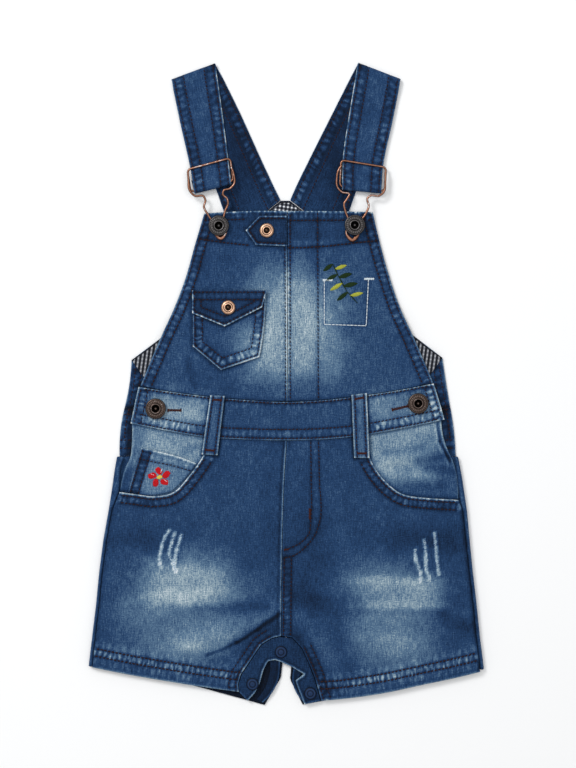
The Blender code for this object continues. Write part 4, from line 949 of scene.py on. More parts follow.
def sew(piece, rows, seed):
    """Topstitching on a piece: one mesh for each colour of thread. Brown stitches are short and
    slanted; the white ones are long and straight."""
    if not rows:
        return []
    sewing = bpy.context.scene.shortalls_sewing
    tree = face_tree(piece)
    chance = np.random.default_rng(seed)
    made = []
    for thread in sorted({row.thread for row in rows}):
        centres, headings, weights = [], [], []
        for row in rows:
            if row.thread != thread:
                continue
            start, end = walk(row.points, sewing.pitch / MM)
            if start.shape[1] == 2:
                start = np.column_stack((start, heights(tree, start)))
                end = np.column_stack((end, heights(tree, end)))
            on = ~(np.isnan(start).any(1) | np.isnan(end).any(1))
            centres.append((start[on] + end[on]) / 2)
            headings.append((end - start)[on])
            weights.append(np.full(on.sum(), row.weight))
        centre, heading, weight = map(np.concatenate, (centres, headings, weights))
        if not len(centre):
            continue
        lean, scatter, stretch = (0, 1, 1.3) if thread == "white" else (11, 6, 1.0)
        slant = np.radians(chance.normal(lean, scatter, len(centre)))
        heading[:, :2] = np.stack((heading[:, 0] * np.cos(slant) - heading[:, 1] * np.sin(slant),
                                   heading[:, 0] * np.sin(slant) + heading[:, 1] * np.cos(slant)), 1)
        sizes = sewing.pitch / MM * chance.uniform(0.8, 0.94, len(centre)) * stretch
        centre[:, 2] += 0.05
        name = f"{piece.name.replace('_cloth', '')}_{thread}_stitches"
        made.append(threads(name, centre, heading, sizes, sewing.width / MM * weight, sewing.rise / MM,
                            thread_material(thread)))
    return made


# ---------------------------------------------------------------- materials

class Nodes:
    """A material's node tree, with short ways to add and join nodes."""

    def __init__(self, name, roughness, metallic=0.0, specular=0.5):
        self.material = bpy.data.materials.new(name)
        self.material.use_nodes = True
        self.tree = self.material.node_tree
        self.shader = self.tree.nodes["Principled BSDF"]
        self.shader.inputs["Roughness"].default_value = roughness
        self.shader.inputs["Metallic"].default_value = metallic
        self.shader.inputs["Specular IOR Level"].default_value = specular

    def add(self, kind, inputs=(), **settings):
        """A node with its settings; an input is a value or another node's output socket."""
        node = self.tree.nodes.new(f"ShaderNode{kind}")
        for key, value in settings.items():
            setattr(node, key, value)
        for key, value in dict(inputs).items():
            if isinstance(value, bpy.types.NodeSocket):
                self.tree.links.new(value, node.inputs[key])
            else:
                node.inputs[key].default_value = value
        return node

    def math(self, operation, a, b=0.0, clamp=False):
        """Output of a Math node."""
        return self.add("Math", {0: a, 1: b}, operation=operation, use_clamp=clamp).outputs[0]

    def noise(self, place, scale, detail=2.0, rough=0.5):
        """Noise about zero at a place stretched by scale, in waves per millimetre along u, v and w."""
        moved = self.add("Mapping", {"Vector": place, "Scale": tuple(s / MM for s in scale)}).outputs[0]
        noise = self.add("TexNoise", {"Vector": moved, "Scale": 1.0, "Detail": detail, "Roughness": rough})
        return self.math("SUBTRACT", noise.outputs["Fac"], 0.5)

    def ramp(self, value, stops):
        """Colour that runs through stops, each its place and its colour."""
        node = self.add("ValToRGB", {"Fac": value})
        band = node.color_ramp
        while len(band.elements) < len(stops):
            band.elements.new(0.5)
        for element, (place, shade) in zip(band.elements, stops):
            element.position = place
            element.color = (*shade, 1.0)
        return node.outputs["Color"]

    def bump(self, height, distance, strength=1.0):
        """Bump by a height socket, whose full scale is a distance in millimetres."""
        bump = self.add("Bump", {"Height": height, "Distance": distance * MM, "Strength": strength})
        self.tree.links.new(bump.outputs[0], self.shader.inputs["Normal"])

    def set(self, name, value):
        """Link a socket, or set a plain value, on the shader."""
        if isinstance(value, bpy.types.NodeSocket):
            self.tree.links.new(value, self.shader.inputs[name])
        else:
            self.shader.inputs[name].default_value = value


def once(maker):
    """Make each material only once."""
    made = {}

    def get(*words):
        if words not in made:
            made[words] = maker(*words)
        return made[words]
    get.__doc__ = maker.__doc__
    return get


def tinted(shade, share, plus=0.0):
    """A colour made darker or lighter: a share of each part, and the same amount added to all."""
    return tuple(min(1.0, share * part + plus) for part in shade)


@once
def denim_material():
    """Washed denim: the piece's tone plus the yarns' own, through the colours of the wash."""
    wash = bpy.context.scene.shortalls_wash
    nodes = Nodes("denim", roughness=0.85, specular=0.12)
    place = nodes.add("UVMap", uv_map="cloth").outputs[0]
    tone = nodes.add("Attribute", attribute_name="tone").outputs["Fac"]
    noises = [nodes.noise(place, (yarn.across, yarn.along, 0), rough=yarn.rough) for yarn in DENIM_YARNS]
    cloud = nodes.noise(place, (0.09, 0.06, 0), detail=3.0)
    yarns = None
    for yarn, noise in zip(DENIM_YARNS, noises):
        weighed = nodes.math("MULTIPLY", noise, yarn.weight)
        yarns = nodes.math("ADD", yarns, weighed) if yarns else weighed
    contrast = nodes.math("MULTIPLY", nodes.math("ADD", tone, 0.75), wash.grain * 1.75)
    grain = nodes.math("MULTIPLY", yarns, contrast)
    grain = nodes.math("ADD", grain, nodes.math("MULTIPLY", cloud, 0.08))
    level = nodes.math("ADD", tone, grain, clamp=True)
    stops = [(reached, getattr(wash, name)) for name, reached in WASH_STOPS.items()]
    nodes.set("Base Color", nodes.ramp(level, stops))
    nodes.set("Sheen Weight", 0.02)
    nodes.set("Sheen Roughness", 0.5)
    turned_place = nodes.add("Mapping", {"Vector": place, "Rotation": (0, 0, math.radians(63)),
                                         "Scale": (1 / wash.wale,) * 3}).outputs[0]
    twill = nodes.add("TexWave", {"Vector": turned_place, "Scale": 0.32, "Distortion": 1.2, "Detail": 1.0},
                      wave_type="BANDS", bands_direction="X").outputs["Fac"]
    height = nodes.math("ADD", nodes.math("MULTIPLY", twill, 0.35), nodes.math("MULTIPLY", yarns, 0.8))
    nodes.bump(height, 0.16, 0.9)
    return nodes.material


@once
def gingham_material():
    """Small woven check: each way has a dark and a white stripe, and a place is as dark as both.
    The tone fades the stripes of one way, where the cloth stands on edge; at 1 it is dark piping."""
    nodes = Nodes("gingham", roughness=0.85, specular=0.2)
    place = nodes.add("UVMap", uv_map="cloth").outputs[0]
    tone = nodes.add("Attribute", attribute_name="tone").outputs["Fac"]
    turned_place = nodes.add("Mapping", {"Vector": place, "Rotation": (0, 0, math.radians(8)),
                                         "Scale": (1 / MM,) * 3}).outputs[0]
    parts = nodes.add("SeparateXYZ", {"Vector": turned_place}).outputs
    darks = []
    for axis in (0, 1):
        share = nodes.math("FRACT", nodes.math("DIVIDE", parts[axis], CHECK_REPEAT))
        darks.append(nodes.math("GREATER_THAN", share, CHECK_WHITE))
    crosswise = nodes.math("MULTIPLY", darks[1], nodes.math("SUBTRACT", 1.0, tone))
    crosswise = nodes.math("ADD", crosswise, nodes.math("MULTIPLY", tone, 0.8))
    both = nodes.math("MULTIPLY", nodes.math("ADD", darks[0], crosswise), 0.5)
    both = nodes.math("MAXIMUM", both, nodes.math("GREATER_THAN", tone, 0.9))
    yarn = nodes.noise(place, (3.0, 3.0, 0))
    level = nodes.math("ADD", both, nodes.math("MULTIPLY", yarn, 0.12), clamp=True)
    nodes.set("Base Color", nodes.ramp(level, CHECK_STOPS))
    nodes.bump(yarn, 0.1, 0.6)
    return nodes.material


@once
def thread_material(name):
    """Twisted sewing thread: its colour, lighter and darker along its ply."""
    nodes = Nodes(f"{name}_thread", roughness=0.75, specular=0.08)
    shade = getattr(bpy.context.scene.shortalls_sewing, name)
    place = nodes.add("TexCoord").outputs["Object"]
    ply = nodes.noise(place, (2.2, 2.2, 2.2))
    level = nodes.math("ADD", ply, 0.5)
    nodes.set("Base Color", nodes.ramp(level, ((0.25, tinted(shade, 0.55)), (0.75, tinted(shade, 1.3)))))
    return nodes.material


@once
def metal_material(name):
    """Plated metal: bright where the tone says that the plating is rubbed, dull where it is kept."""
    nodes = Nodes(f"{name}_metal", roughness=0.36, metallic=1.0)
    shade = getattr(bpy.context.scene.shortalls_metal, name)
    place = nodes.add("TexCoord").outputs["Object"]
    tone = nodes.add("Attribute", attribute_name="tone").outputs["Fac"]
    stain = nodes.noise(place, (0.6, 0.6, 0.6), detail=4.0, rough=0.65)
    uneven = nodes.math("ADD", nodes.math("MULTIPLY", stain, 1.5), 1.0)
    level = nodes.math("MULTIPLY", tone, uneven, clamp=True)
    # the top stop is the colour of a painted glint
    stops = ((0.0, tinted(shade, 0.025)), (0.45, tuple(shade)), (0.85, tinted(shade, 1.7, 0.03)),
             (1.0, tinted(shade, 0.4, 0.6)))
    nodes.set("Base Color", nodes.ramp(level, stops))
    rough = nodes.math("ADD", nodes.math("MULTIPLY", stain, 0.3), 0.36, clamp=True)
    nodes.set("Roughness", rough)
    nodes.bump(nodes.noise(place, (2.5, 2.5, 2.5)), 0.03, 0.5)
    return nodes.material


@once
def enamel_material():
    """Painted snap cap."""
    nodes = Nodes("enamel", roughness=0.55, specular=0.12)
    place = nodes.add("TexCoord").outputs["Object"]
    tone = nodes.add("Attribute", attribute_name="tone").outputs["Fac"]
    shade = bpy.context.scene.shortalls_metal.enamel
    stain = nodes.noise(place, (0.8, 0.8, 0.8), detail=3.0)
    level = nodes.math("ADD", tone, nodes.math("MULTIPLY", stain, 0.5), clamp=True)
    stops = ((0.0, tinted(shade, 0.3)), (0.5, tuple(shade)), (1.0, tinted(shade, 2.0, 0.004)))
    nodes.set("Base Color", nodes.ramp(level, stops))
    nodes.bump(stain, 0.03, 0.4)
    return nodes.material


@once
def table_material():
    """Pale table top with a faint unevenness."""
    nodes = Nodes("table", roughness=0.7, specular=0.2)
    shade = bpy.context.scene.shortalls_studio.table
    place = nodes.add("TexCoord").outputs["Object"]
    level = nodes.math("ADD", nodes.noise(place, (0.004, 0.004, 0.004)), 0.5)
    nodes.set("Base Color", nodes.ramp(level, ((0.0, tinted(shade, 0.985)), (1.0, tuple(shade)))))
    return nodes.material


# ---------------------------------------------------------------- back and linings

def back_bib():
    """Back above the waist, from the point between the straps down to the waist seam."""
    left, right = (line((0.72, outwards(BACK_ARMHOLE[side], side)), (1.0, outwards(BACK_SIDE[side], side)))
                   for side in SIDES)
    top = line((0.45, BACK_TOP[:2]), (0.52, BACK_TOP[1:3]), (1.0, BACK_TOP[2:]))
    back_step = cut("back_step")
    plan = patch(left, right, top, curve(BACK_WAIST_SEAM), steps(200, back_step), steps(150, back_step))
    x, y = plan[..., 0], plan[..., 1]
    rows, bands = [], []
    for side, sign in SIDES.items():
        edge = spaced(outwards(BACK_SIDE[side], side))
        rows += [Row(inset(edge, sign * distance)) for distance in BACK_SIDE_ROWS]
        bands.append(Band(inset(edge, sign * 5), 3.4, 4.6, 0.2))
    tint = (0.17 + 0.16 * mottle(x, y, 3.0, 105)) * ease(np.abs(x), 96, 106)
    panel("back_bib", plan, 0.0, cut("denim"), tone=0.10, tint=tint, wash=0, under_tone=0.4, seed=101,
          worn={"inner": 0.25, "outer": 0.25}, bands=bands, rows=rows,
          shadows=[Shadow(BACK_WAIST_SEAM, 0.25, 1.6)])


def back_waistband():
    """Waistband of the back, with the ends that carry the side buttons."""
    left, right = (curve(BACK_WAIST_END[side], side) for side in SIDES)
    back_step = cut("back_step")
    plan = patch(left, right, curve(shifted(BACK_WAIST_SEAM, y=-SEAM_ROOM)), curve(BACK_WAIST_FOOT),
                 steps(245, back_step), steps(33, back_step))
    x, y = plan[..., 0], plan[..., 1]
    rows, bands = [], []
    for side, sign in SIDES.items():
        edge = spaced(outwards(BACK_WAIST_END[side], side))
        bands.append(Band(inset(edge, sign * 3.5), 3.4, 4.6, 0.16))
        rows += [Row(((sign * 108, level), (sign * 122, level))) for level in BACK_WAIST_ROWS]
        rows.append(Row(inset(edge, sign * 3.4)[:8], weight=1.4))
    out = np.abs(x) + 0.09 * (y + 20)
    tint = (0.1 * mottle(x, y, 3.0, 106) - 0.16 * fall(out, 114.5, 115.8)
            + 0.20 * bell(out, 0.5, at=116.2))
    panel("back_waistband", plan, 0.0, cut("denim"), tone=0.27, tint=tint, wash=0, under_tone=0.42,
          seed=102, worn={"inner": 0.25, "outer": 0.25}, bands=bands, rows=rows,
          shadows=[Shadow(BACK_WAIST_SEAM, 0.25, 1.6)])


def back_leg_surface(side):
    """Middle surface of a leg's back: flat, then round a half circle at its outer edge and in to the
    side seam. The half circle is as high as the front lies there."""
    sign, flanks, denim = SIDES[side], FLANKS[side], cut("denim")
    down = steps(155, cut("back_step"))
    given = np.array([flank.y for flank in flanks])
    y = given[0] + (given[-1] - given[0]) * down
    outline, seam_inset = (np.interp(-y, -given, [getattr(flank, key) for flank in flanks])
                           for key in ("outline", "inset"))
    y[0], y[-1] = BACK_LEG_CORNER, BACK_HEM[side][-1][1]
    seam = outline - seam_inset
    rise = cut("front_rest") + swell(sign * seam, y)
    centre = outline - rise / 2 - denim / 2

    def outer(shares):
        return np.stack((np.interp(shares, down, centre), np.interp(shares, down, y)), -1)

    inseam = BACK_INSEAM[side]
    inner = line((0.7, inseam[:2]), (0.85, inseam[1:4]), (1.0, inseam[3:]))
    top = curve([*BACK_LEG_WAIST, (centre[0], y[0])])
    bottom = curve([*BACK_HEM[side][:-1], (centre[-1], y[-1])])
    across = steps(125, cut("back_step"))
    plan = patch(inner, outer, top, bottom, np.append(across[across < 0.98], 1.0), down)
    turn = np.radians(np.linspace(-90, 90, 13)[1:])
    curl_x = centre[:, None] + rise[:, None] / 2 * np.cos(turn)
    curl_z = denim / 2 + rise[:, None] / 2 * (1 + np.sin(turn))
    inward = np.array((0.3, 0.55, 0.75, 0.87, 0.95, 1.0))
    run_x = centre[:, None] * (1 - inward) + seam[:, None] * inward
    run_z = np.repeat(rise[:, None] + denim / 2, len(inward), axis=1)
    x = np.hstack((plan[..., 0], curl_x, run_x))
    z = np.hstack((np.full(plan.shape[:2], denim / 2), curl_z, run_z))
    level = np.hstack((plan[..., 1], np.repeat(plan[:, -1:, 1], curl_x.shape[1] + len(inward), axis=1)))
    return x, level, z


def back_leg(side):
    """Back of one leg: its outside is worn beside the side seam, and its inside is darkest low down."""
    sign, denim = SIDES[side], cut("denim")
    x, level, z = back_leg_surface(side)
    middle = np.dstack((sign * x, level, z))
    spread = np.hstack((np.zeros((len(x), 1)), np.cumsum(np.hypot(np.diff(x), np.diff(z)), axis=1)))
    to_seam = spread[:, -1:] - spread
    cloth = np.dstack((sign * (spread + x[:, :1]), level))
    rim = np.minimum(np.minimum(spread, to_seam), np.minimum(level[:1] - level, level - level[-1:]))
    half = denim / 2 * rounded_rim(rim, denim)
    over = ease(z, denim, 2 * denim)
    fray = 0.6 + 0.4 * mottle(level, 0 * x, 3, 42)
    # painted shade in the side seam's groove, beside the worn line
    outside = 0.36 + over * (0.04 * mottle(level, x, 3, 41) + 0.12 * fray * bell(to_seam, 0.8, at=1.6)
                             - 0.16 * bell(to_seam, 1.1))
    # the inside, seen in the leg openings, is painted near black as shade; it is lighter high up, by the vent
    inside = np.where(rim < 0.01, outside, 0.02 + 0.34 * ease(level, -96, -84))
    piece = wall(f"back_leg_{side}_cloth", middle, half, square_to(middle, sign), inside, outside, cloth,
                 denim_material())
    declare([f"back_leg_{side}"])


def back_placket(side):
    """Strip inside the back of one leg, along the inseam, that takes the snaps' other halves."""
    near, far = BACK_PLACKET[side]
    top, bottom = (curve((near[end], far[end]), side) for end in (0, -1))
    plan = patch(curve(near, side), curve(far, side), top, bottom, steps(8, 1.2), steps(36, 1.5))
    panel(f"back_placket_{side}", plan, cut("denim") + cut("gap"), cut("gingham"), tone=0.16, wash=0,
          under_tone=0.1, seed=111, worn={"inner": 0.3})


def check_facing(node, plan, seed, piped, squeezed_and_shaded=0.0):
    """Checked facing that lies on the inside of the back."""
    thickness = cut("gingham")
    away = {name: distance_to(border, plan) for name, border in borders(plan).items()}
    rim = np.minimum.reduce(list(away.values()))
    tone = np.where(away[piped] < PIPING, 1.0, squeezed_and_shaded)
    pleat = 0.12 * mottle(plan[..., 0], plan[..., 1], 5, seed) * ease(rim, 0.3, 2)
    half = (thickness + pleat) / 2 * rounded_rim(rim, thickness)
    middle = np.dstack((plan, cut("denim") + cut("gap") + (thickness + pleat) / 2))
    piece = wall(f"{node}_cloth", middle, half, UP, tone, 0.0, plan, gingham_material())
    declare([node])


def neck_facing():
    """Checked facing where it shows between the straps."""
    top = line((0.36, NECK_TOP[:2]), (0.5, NECK_TOP[1:3]), (1.0, NECK_TOP[2:]))
    left, right = (curve((NECK_TOP[end], NECK_FOOT[end])) for end in (0, -1))
    check_facing("neck_facing", patch(left, right, top, curve(NECK_FOOT), steps(43), steps(15)), 121, "top")


def armhole_facing(side):
    """Checked facing at the foot of one armhole, where it shows beside the bib."""
    armhole, foot = BACK_ARMHOLE[side], BACK_SIDE[side][0]
    bend = (armhole[-2][0] - 8, armhole[-2][1] + 7)
    plan = patch(curve(ARMHOLE_FACING_INNER, side), curve((bend, armhole[-2], foot), side),
                 curve((ARMHOLE_FACING_INNER[0], bend), side), curve((ARMHOLE_FACING_INNER[-1], foot), side),
                 steps(20), steps(34))
    # the armhole's check is darkened, partly as painted shade beside the bib
    check_facing(f"armhole_facing_{side}", plan, 123, "outer", 0.75)


# ---------------------------------------------------------------- front below the waist

def facing_shadows(side):
    """Shadows of the waistband, the belt loops and the scoop's lip on what lies behind them."""
    scoop = spaced(outwards(SCOOP[side], side), 40)
    return [Shadow(scoop, 0.2, 2.2), Shadow(shifted(WAIST_BOTTOM, y=-0.5), 0.14, 1.3), *loop_shadows()]


def pocket_facing(side):
    """Pale denim inside a scoop pocket, tucked under the waistband and the leg."""
    scoop, vent = SCOOP[side], VENT[side]
    waist = sorted((abs(x), y + 2.6) for x, y in WAIST_BOTTOM if SIDES[side] * x > 49)[-3:]
    high, low = (57, waist[0][1]), (57.2, scoop[0][1] - 1)
    under_leg = [(px - inwards, py - down) for (px, py), (inwards, down) in zip(scoop[1:5], FACING_TUCK)]
    plan = patch(curve((high, low), side), curve(vent, side), curve((high, waist[1], vent[0]), side),
                 curve([low, *under_leg, vent[-1]], side), steps(62), steps(50))
    x, y = plan[..., 0], plan[..., 1]
    under = cut("pocketing_rest") + swell(x, y) + ridges(x, y, FACING_FOLDS)
    if side == "right":
        shade, deeper = 0.32, -0.26 * ease(0.9 * x - y, 118, 176)
    else:
        shade, deeper = 0.31, -0.22 * ease(-x, 107, 117) * ease(-y, 52, 68) - 0.1 * ease(-x, 99, 110)
    # painted highlight on the wrinkles' tops, plus the lines of the table above, mostly painted shade and
    # highlight
    crease = 0.06 * ridges(x, y, FACING_FOLDS) + ridges(x, y, FACING_SHADES)
    panel(f"pocket_facing_{side}", plan, under, cut("pocketing"), tone=0.36, tint=shade + deeper + crease,
          wash=0, under_tone=0.5, seed=131, worn={"outer": 0.16},
          shadows=facing_shadows(side))


def coin_pocket():
    """Small patch pocket on the left pocket's facing, cut off by the scoop."""
    under_scoop = (SCOOP["left"][3][0], SCOOP["left"][3][1] + 1.2)
    plan = patch(curve(COIN_INNER, "left"), curve(COIN_OUTER, "left"), curve(COIN_TOP, "left"),
                 curve((COIN_INNER[-1], under_scoop, COIN_OUTER[-1]), "left"), steps(38, 1.0), steps(30, 1.0))
    x, y = plan[..., 0], plan[..., 1]
    side_edge, top_edge = outwards(COIN_OUTER, "left"), outwards(COIN_TOP, "left")
    from_side, from_top = distance_to(side_edge, plan), distance_to(top_edge, plan)
    under = (cut("pocketing_rest") + swell(x, y) + ridges(x, y, FACING_FOLDS) + cut("pocketing") + cut("gap"))
    rise = 0.3 * np.maximum(fall(from_side, 8, 9.2), fall(from_top, 7, 8.2))
    tint = 0.26 - 0.26 * fall(from_side, 7.5, 9)
    rows = [Row(outwards(COIN_ROW, "left"))]
    rows += [Row(inset(spaced(side_edge, start=0.02), -distance)) for distance in COIN_SIDE_ROWS]
    bands = [Band(shifted(spaced(top_edge, start=0.05, end=0.8), y=-3.6), 3.2, 4.5, 0.12),
             Band(inset(spaced(side_edge), -4.6), 3.0, 4.2, 0.14)]
    piece = panel("coin_pocket", plan, under, COIN_THICKNESS + rise, tone=0.33, tint=tint, wash=0, seed=133,
                  worn={"outer": 0.35, "top": 0.38}, bands=bands, rows=rows,
                  shadows=facing_shadows("left"))
    embroider(piece, "flower", FLOWER)


def leg_plan(side):
    """Plan of a leg's front, and the places of its side seam from the scoop to the hem."""
    sign, gap = SIDES[side], cut("gap")
    middle = [(sign * x + gap / 2, y) for x, y in CENTRE_SEAM]
    inner = line((0.70, outwards(middle, side)), (0.73, outwards((middle[-1], INSEAM[side][0]), side)),
                 *straight(0.73, 1.0, outwards(INSEAM[side], side)))
    seam = [(f.outline - f.inset - gap, f.y) for f in FLANKS[side] if f.y < SCOOP[side][-1][1] - 1]
    seam[-1] = FRONT_HEM[side][-1]
    waist = sorted((abs(x), y - gap) for x, y in part_of(WAIST_BOTTOM, sign * 0.7, sign * 60.4, 6))
    outer = line((0.07, outwards((waist[-1], SCOOP[side][0]), side)),
                 (0.38, outwards(SCOOP[side], side)),
                 *straight(0.38, 1.0, outwards([SCOOP[side][-1], *seam], side)))
    top = curve([(middle[0][0], middle[0][1] - gap), *waist[1:]], side)
    plan = patch(inner, outer, top, curve(FRONT_HEM[side], side), steps(112), steps(180))
    return plan, outwards(seam, side)


def leg_sewing(side, hem, scoop):
    """Rows and puckered bands of a leg's front, beside its hem, its scoop pocket and its inseam."""
    onto = -SIDES[side]    # turns the inset of a line that runs outwards up onto the leg
    inseam = np.array(outwards(INSEAM[side][1:], side))
    rows = [Row(inset(hem, onto * distance), weight=1.5) for distance in HEM_ROWS]
    rows += [Row(inset(scoop, -onto * distance)[1:-1], weight=1.25) for distance in SCOOP_ROWS]
    rows += [Row(inset(inseam, onto * distance)) for distance in INSEAM_ROWS]
    bands = [Band(inset(hem, onto * 11.2), 2.9, 3.6, 0.3), Band(inset(scoop, -onto * 5), 2.9, 4.0, 0.2),
             Band(inset(inseam, onto * 4.3), 2.4, 4.2, 0.12), Band(inset(hem, onto * 5.4), 2.9, 4.6, 0.13),
             Band(inset(hem, onto * 17.0), 3.0, 5.4, 0.12), Band(inset(scoop, -onto * 0.6), 1.1, 3.0, 0.28)]
    if side == "right":
        rows += [Row(spaced(points, 40)) for points in FLY_ROWS]
        rows += [Row(points) for points in CROTCH_ROWS]
        bands += FLY_BANDS
    return rows, bands


def rip_tone(x, y, lines):
    """Tone of the rips: pale torn threads on each line and a darker margin beside it."""
    torn = np.zeros(x.shape)
    for points in lines:
        distance, _ = nearest(x, y, spaced(points))
        pale = (0.34 + 0.34 * mottle(x, y, 1.4, 17)) * np.exp(-(distance / 1.5) ** 4)
        torn = np.maximum(torn, pale) - 0.07 * bell(distance, 0.8, at=2.3)
    return torn


def leg_front(side):
    """Front of one leg: waist, scoop pocket's hem, side seam, hem, inseam and middle seam."""
    left = side == "left"
    plan, side_seam = leg_plan(side)
    x, y = plan[..., 0], plan[..., 1]
    hem, scoop = spaced(outwards(FRONT_HEM[side], side), 30), spaced(outwards(SCOOP[side], side), 40)
    from_hem, from_scoop = distance_to(hem, plan), distance_to(scoop, plan)
    rise = cut("hem_rise") * np.maximum(fall(from_hem, 16.6, 18), fall(from_scoop, 8.6, 9.8))
    rows, bands = leg_sewing(side, hem, scoop)
    # painted highlight on each fold's ridge and painted shade a little below and left of it
    fold_light_and_shade = 0.045 * ridges(x, y, FOLDS) - 0.05 * ridges(x + 4, y + 9, FOLDS)
    hems = 0.01 * fall(from_hem, 15, 17) - 0.05 * fall(from_scoop, 8, 10)
    lip = (0.5 + 0.2 * mottle(x, y, 2.5, 18)) * bell(from_scoop, 1.0)
    hem_pale = 0.07 * (0.75 + 0.5 * mottle(x, y, 14, 19)) * ease(from_hem, 5, 8) * fall(from_hem, 15, 22)
    shadows = [Shadow(WAIST_BOTTOM, 0.1, 1.6), Shadow(side_seam, 0.09 if left else 0.2, 1.7),
               Shadow(shifted(CENTRE_SEAM, x=-2.2 if left else 0.0), 0.09, 1.5), *loop_shadows()]
    piece = panel(f"leg_front_{side}", plan, front_under(x, y), cut("denim") + rise, tone=0.37,
                  tint=fold_light_and_shade + hems + rip_tone(x, y, RIPS[side]) + lip + hem_pale, under_tone=0.02,
                  seed=141 if left else 151, worn={"inner": 0.34 if left else 0.12, "bottom": 0.3},
                  bands=bands, rows=rows, shadows=shadows)
    rips(piece, f"leg_front_{side}_rips", RIPS[side])
    if side == "right":
        bar_tacks(piece, "fly_tacks", FLY_TACKS, "tack")


def crotch_placket():
    """Snap placket round the inseam: its outer edge meets the legs, its inner edge hangs free."""
    outer_edge = np.array(outwards(INSEAM["left"][::-1], "left") + outwards(INSEAM["right"], "right"))
    free_edge = np.array(PLACKET_FREE_EDGE)
    toward = free_edge - outer_edge
    toward /= np.linalg.norm(toward, axis=1, keepdims=True)
    seam_edge = outer_edge + toward * 2 * cut("gap")
    share, fine = np.linspace(0, 1, len(seam_edge)), steps(95)
    seam, free = (np.stack([np.interp(fine, share, edge[:, k]) for k in (0, 1)], 1)
                  for edge in (seam_edge, free_edge))
    across = steps(12, 0.9)[None, :, None]
    plan = seam[:, None] * (1 - across) + free[:, None] * across
    x, y = plan[..., 0], plan[..., 1]
    under = cut("front_rest") + swell(x, y) + 0.5 * ridges(x, y, FOLDS)
    panel("crotch_placket", plan, under, cut("denim"), tone=0.27, wash=0.5, under_tone=0.1, seed=161,
          worn={"outer": 0.55, "top": 0.2, "bottom": 0.3})


def waistband():
    """Waistband of the front, from buttonhole to buttonhole."""
    top_line = shifted(WAIST_TOP, y=-cut("gap"))
    left_end = (top_line[0], WAIST_END["left"], WAIST_BOTTOM[0])
    right_end = (top_line[-1], WAIST_END["right"], WAIST_BOTTOM[-1])
    plan = patch(curve(left_end), curve(right_end), curve(top_line), curve(WAIST_BOTTOM),
                 steps(226), steps(27, 0.9))
    x, y = plan[..., 0], plan[..., 1]
    low, high = spaced(WAIST_BOTTOM, 50), spaced(WAIST_TOP, 50)
    from_low, from_high = distance_to(low, plan), distance_to(high, plan)
    thickness = cut("denim") + cut("hem_rise") * (1 - 0.5 * ease(from_low, 8, 9.5) * ease(from_high, 1.5, 3))
    rows = [Row(inset(high, 1.3)[1:-1], weight=1.3), Row(inset(low, -1.4)[1:-1], weight=1.1),
            Row(inset(low, -8.0)[1:-1], weight=1.1)]
    for end, away in ((left_end, -1), (right_end, 1)):
        edge = spaced(end, start=0.04, end=0.96)
        rows += [Row(inset(edge, away * distance)) for distance in WAIST_END_ROWS]
    belt = inset(low, -4.6)
    bands = [Band(belt[:13], 3.4, 4.2, 0.22), Band(belt[12:38], 3.2, 4.4, 0.12),
             Band(belt[37:], 3.4, 4.2, 0.25), Band(inset(high, 4.0), 2.4, 4.6, 0.09),
             Band(inset(high, 0.5), 1.0, 2.6, 0.2), Band(inset(spaced(left_end), -4.8), 2.6, 4.2, 0.24),
             Band(inset(spaced(right_end), 4.8), 2.6, 4.2, 0.28)]
    piece = panel("waistband", plan, cut("front_rest") + swell(x, y), thickness, tone=0.385, under_tone=0.1,
                  seed=171, worn={"inner": 0.4, "outer": 0.4, "bottom": 0.3, "top": 0.28}, bands=bands,
                  rows=rows, shadows=loop_shadows())
    for side, (start, end) in BUTTONHOLES.items():
        buttonhole(piece, f"buttonhole_{side}", start, end)


def loop_shadows():
    """Shadows beside the two belt loops."""
    corners = [outwards(BELT_LOOP[side], side) for side in SIDES]
    return [Shadow((*loop[1:], loop[0]), 0.24, 1.5) for loop in corners]


def belt_loop(side):
    """Belt loop over the waistband and the top of the leg, bowed out in the middle."""
    top_outer, top_inner, low_inner, low_outer = outwards(BELT_LOOP[side], side)
    inner_edge, outer_edge = np.array((top_inner, low_inner)), np.array((top_outer, low_outer))
    plan = patch(curve(inner_edge), curve(outer_edge), curve((top_inner, top_outer)),
                 curve((low_inner, low_outer)), steps(11, 0.9), steps(44))
    x, y = plan[..., 0], plan[..., 1]
    down = np.linspace(0, 1, len(plan))[:, None]
    under = (cut("front_rest") + swell(x, y) + cut("denim") + cut("hem_rise") + cut("gap")
             + 0.45 * np.sin(np.pi * down) ** 0.7)
    across = (outer_edge - inner_edge) / np.linalg.norm(outer_edge - inner_edge, axis=1, keepdims=True)
    rows = [Row(inner_edge + across * LOOP_ROW), Row(outer_edge - across * LOOP_ROW)]
    from_edge = np.minimum(distance_to(inner_edge, plan), distance_to(outer_edge, plan))
    piece = panel(f"belt_loop_{side}", plan, under, cut("denim") + 0.3 * fall(from_edge, 2.4, 3.4),
                  tone=0.45 if side == "left" else 0.49, wash=0.25, under_tone=0.2, seed=181,
                  worn={"inner": 0.27, "outer": 0.41, "bottom": 0.25, "top": 0.25}, rows=rows)
    bars = []
    for (inner_x, inner_y), (outer_x, outer_y), shift in ((top_inner, top_outer, -3.2),
                                                          (low_inner, low_outer, 3.4)):
        bars.append(((inner_x * 0.8 + outer_x * 0.2, inner_y + shift),
                     (inner_x * 0.2 + outer_x * 0.8, outer_y + shift), TACK_WIDTH))
    bar_tacks(piece, f"belt_loop_{side}_tacks", bars, "tack")


# ---------------------------------------------------------------- bib

def bib_shadows(side):
    """Shadows on the bib beside the waistband, the pocket and the tab."""
    shadows = [Shadow(WAIST_TOP, 0.1, 1.8)]
    if side == "left":
        shadows += [Shadow(POCKET_OUTLINE, 0.14, 2.0), Shadow(TAB_OUTLINE, 0.14, 1.6)]
    return shadows


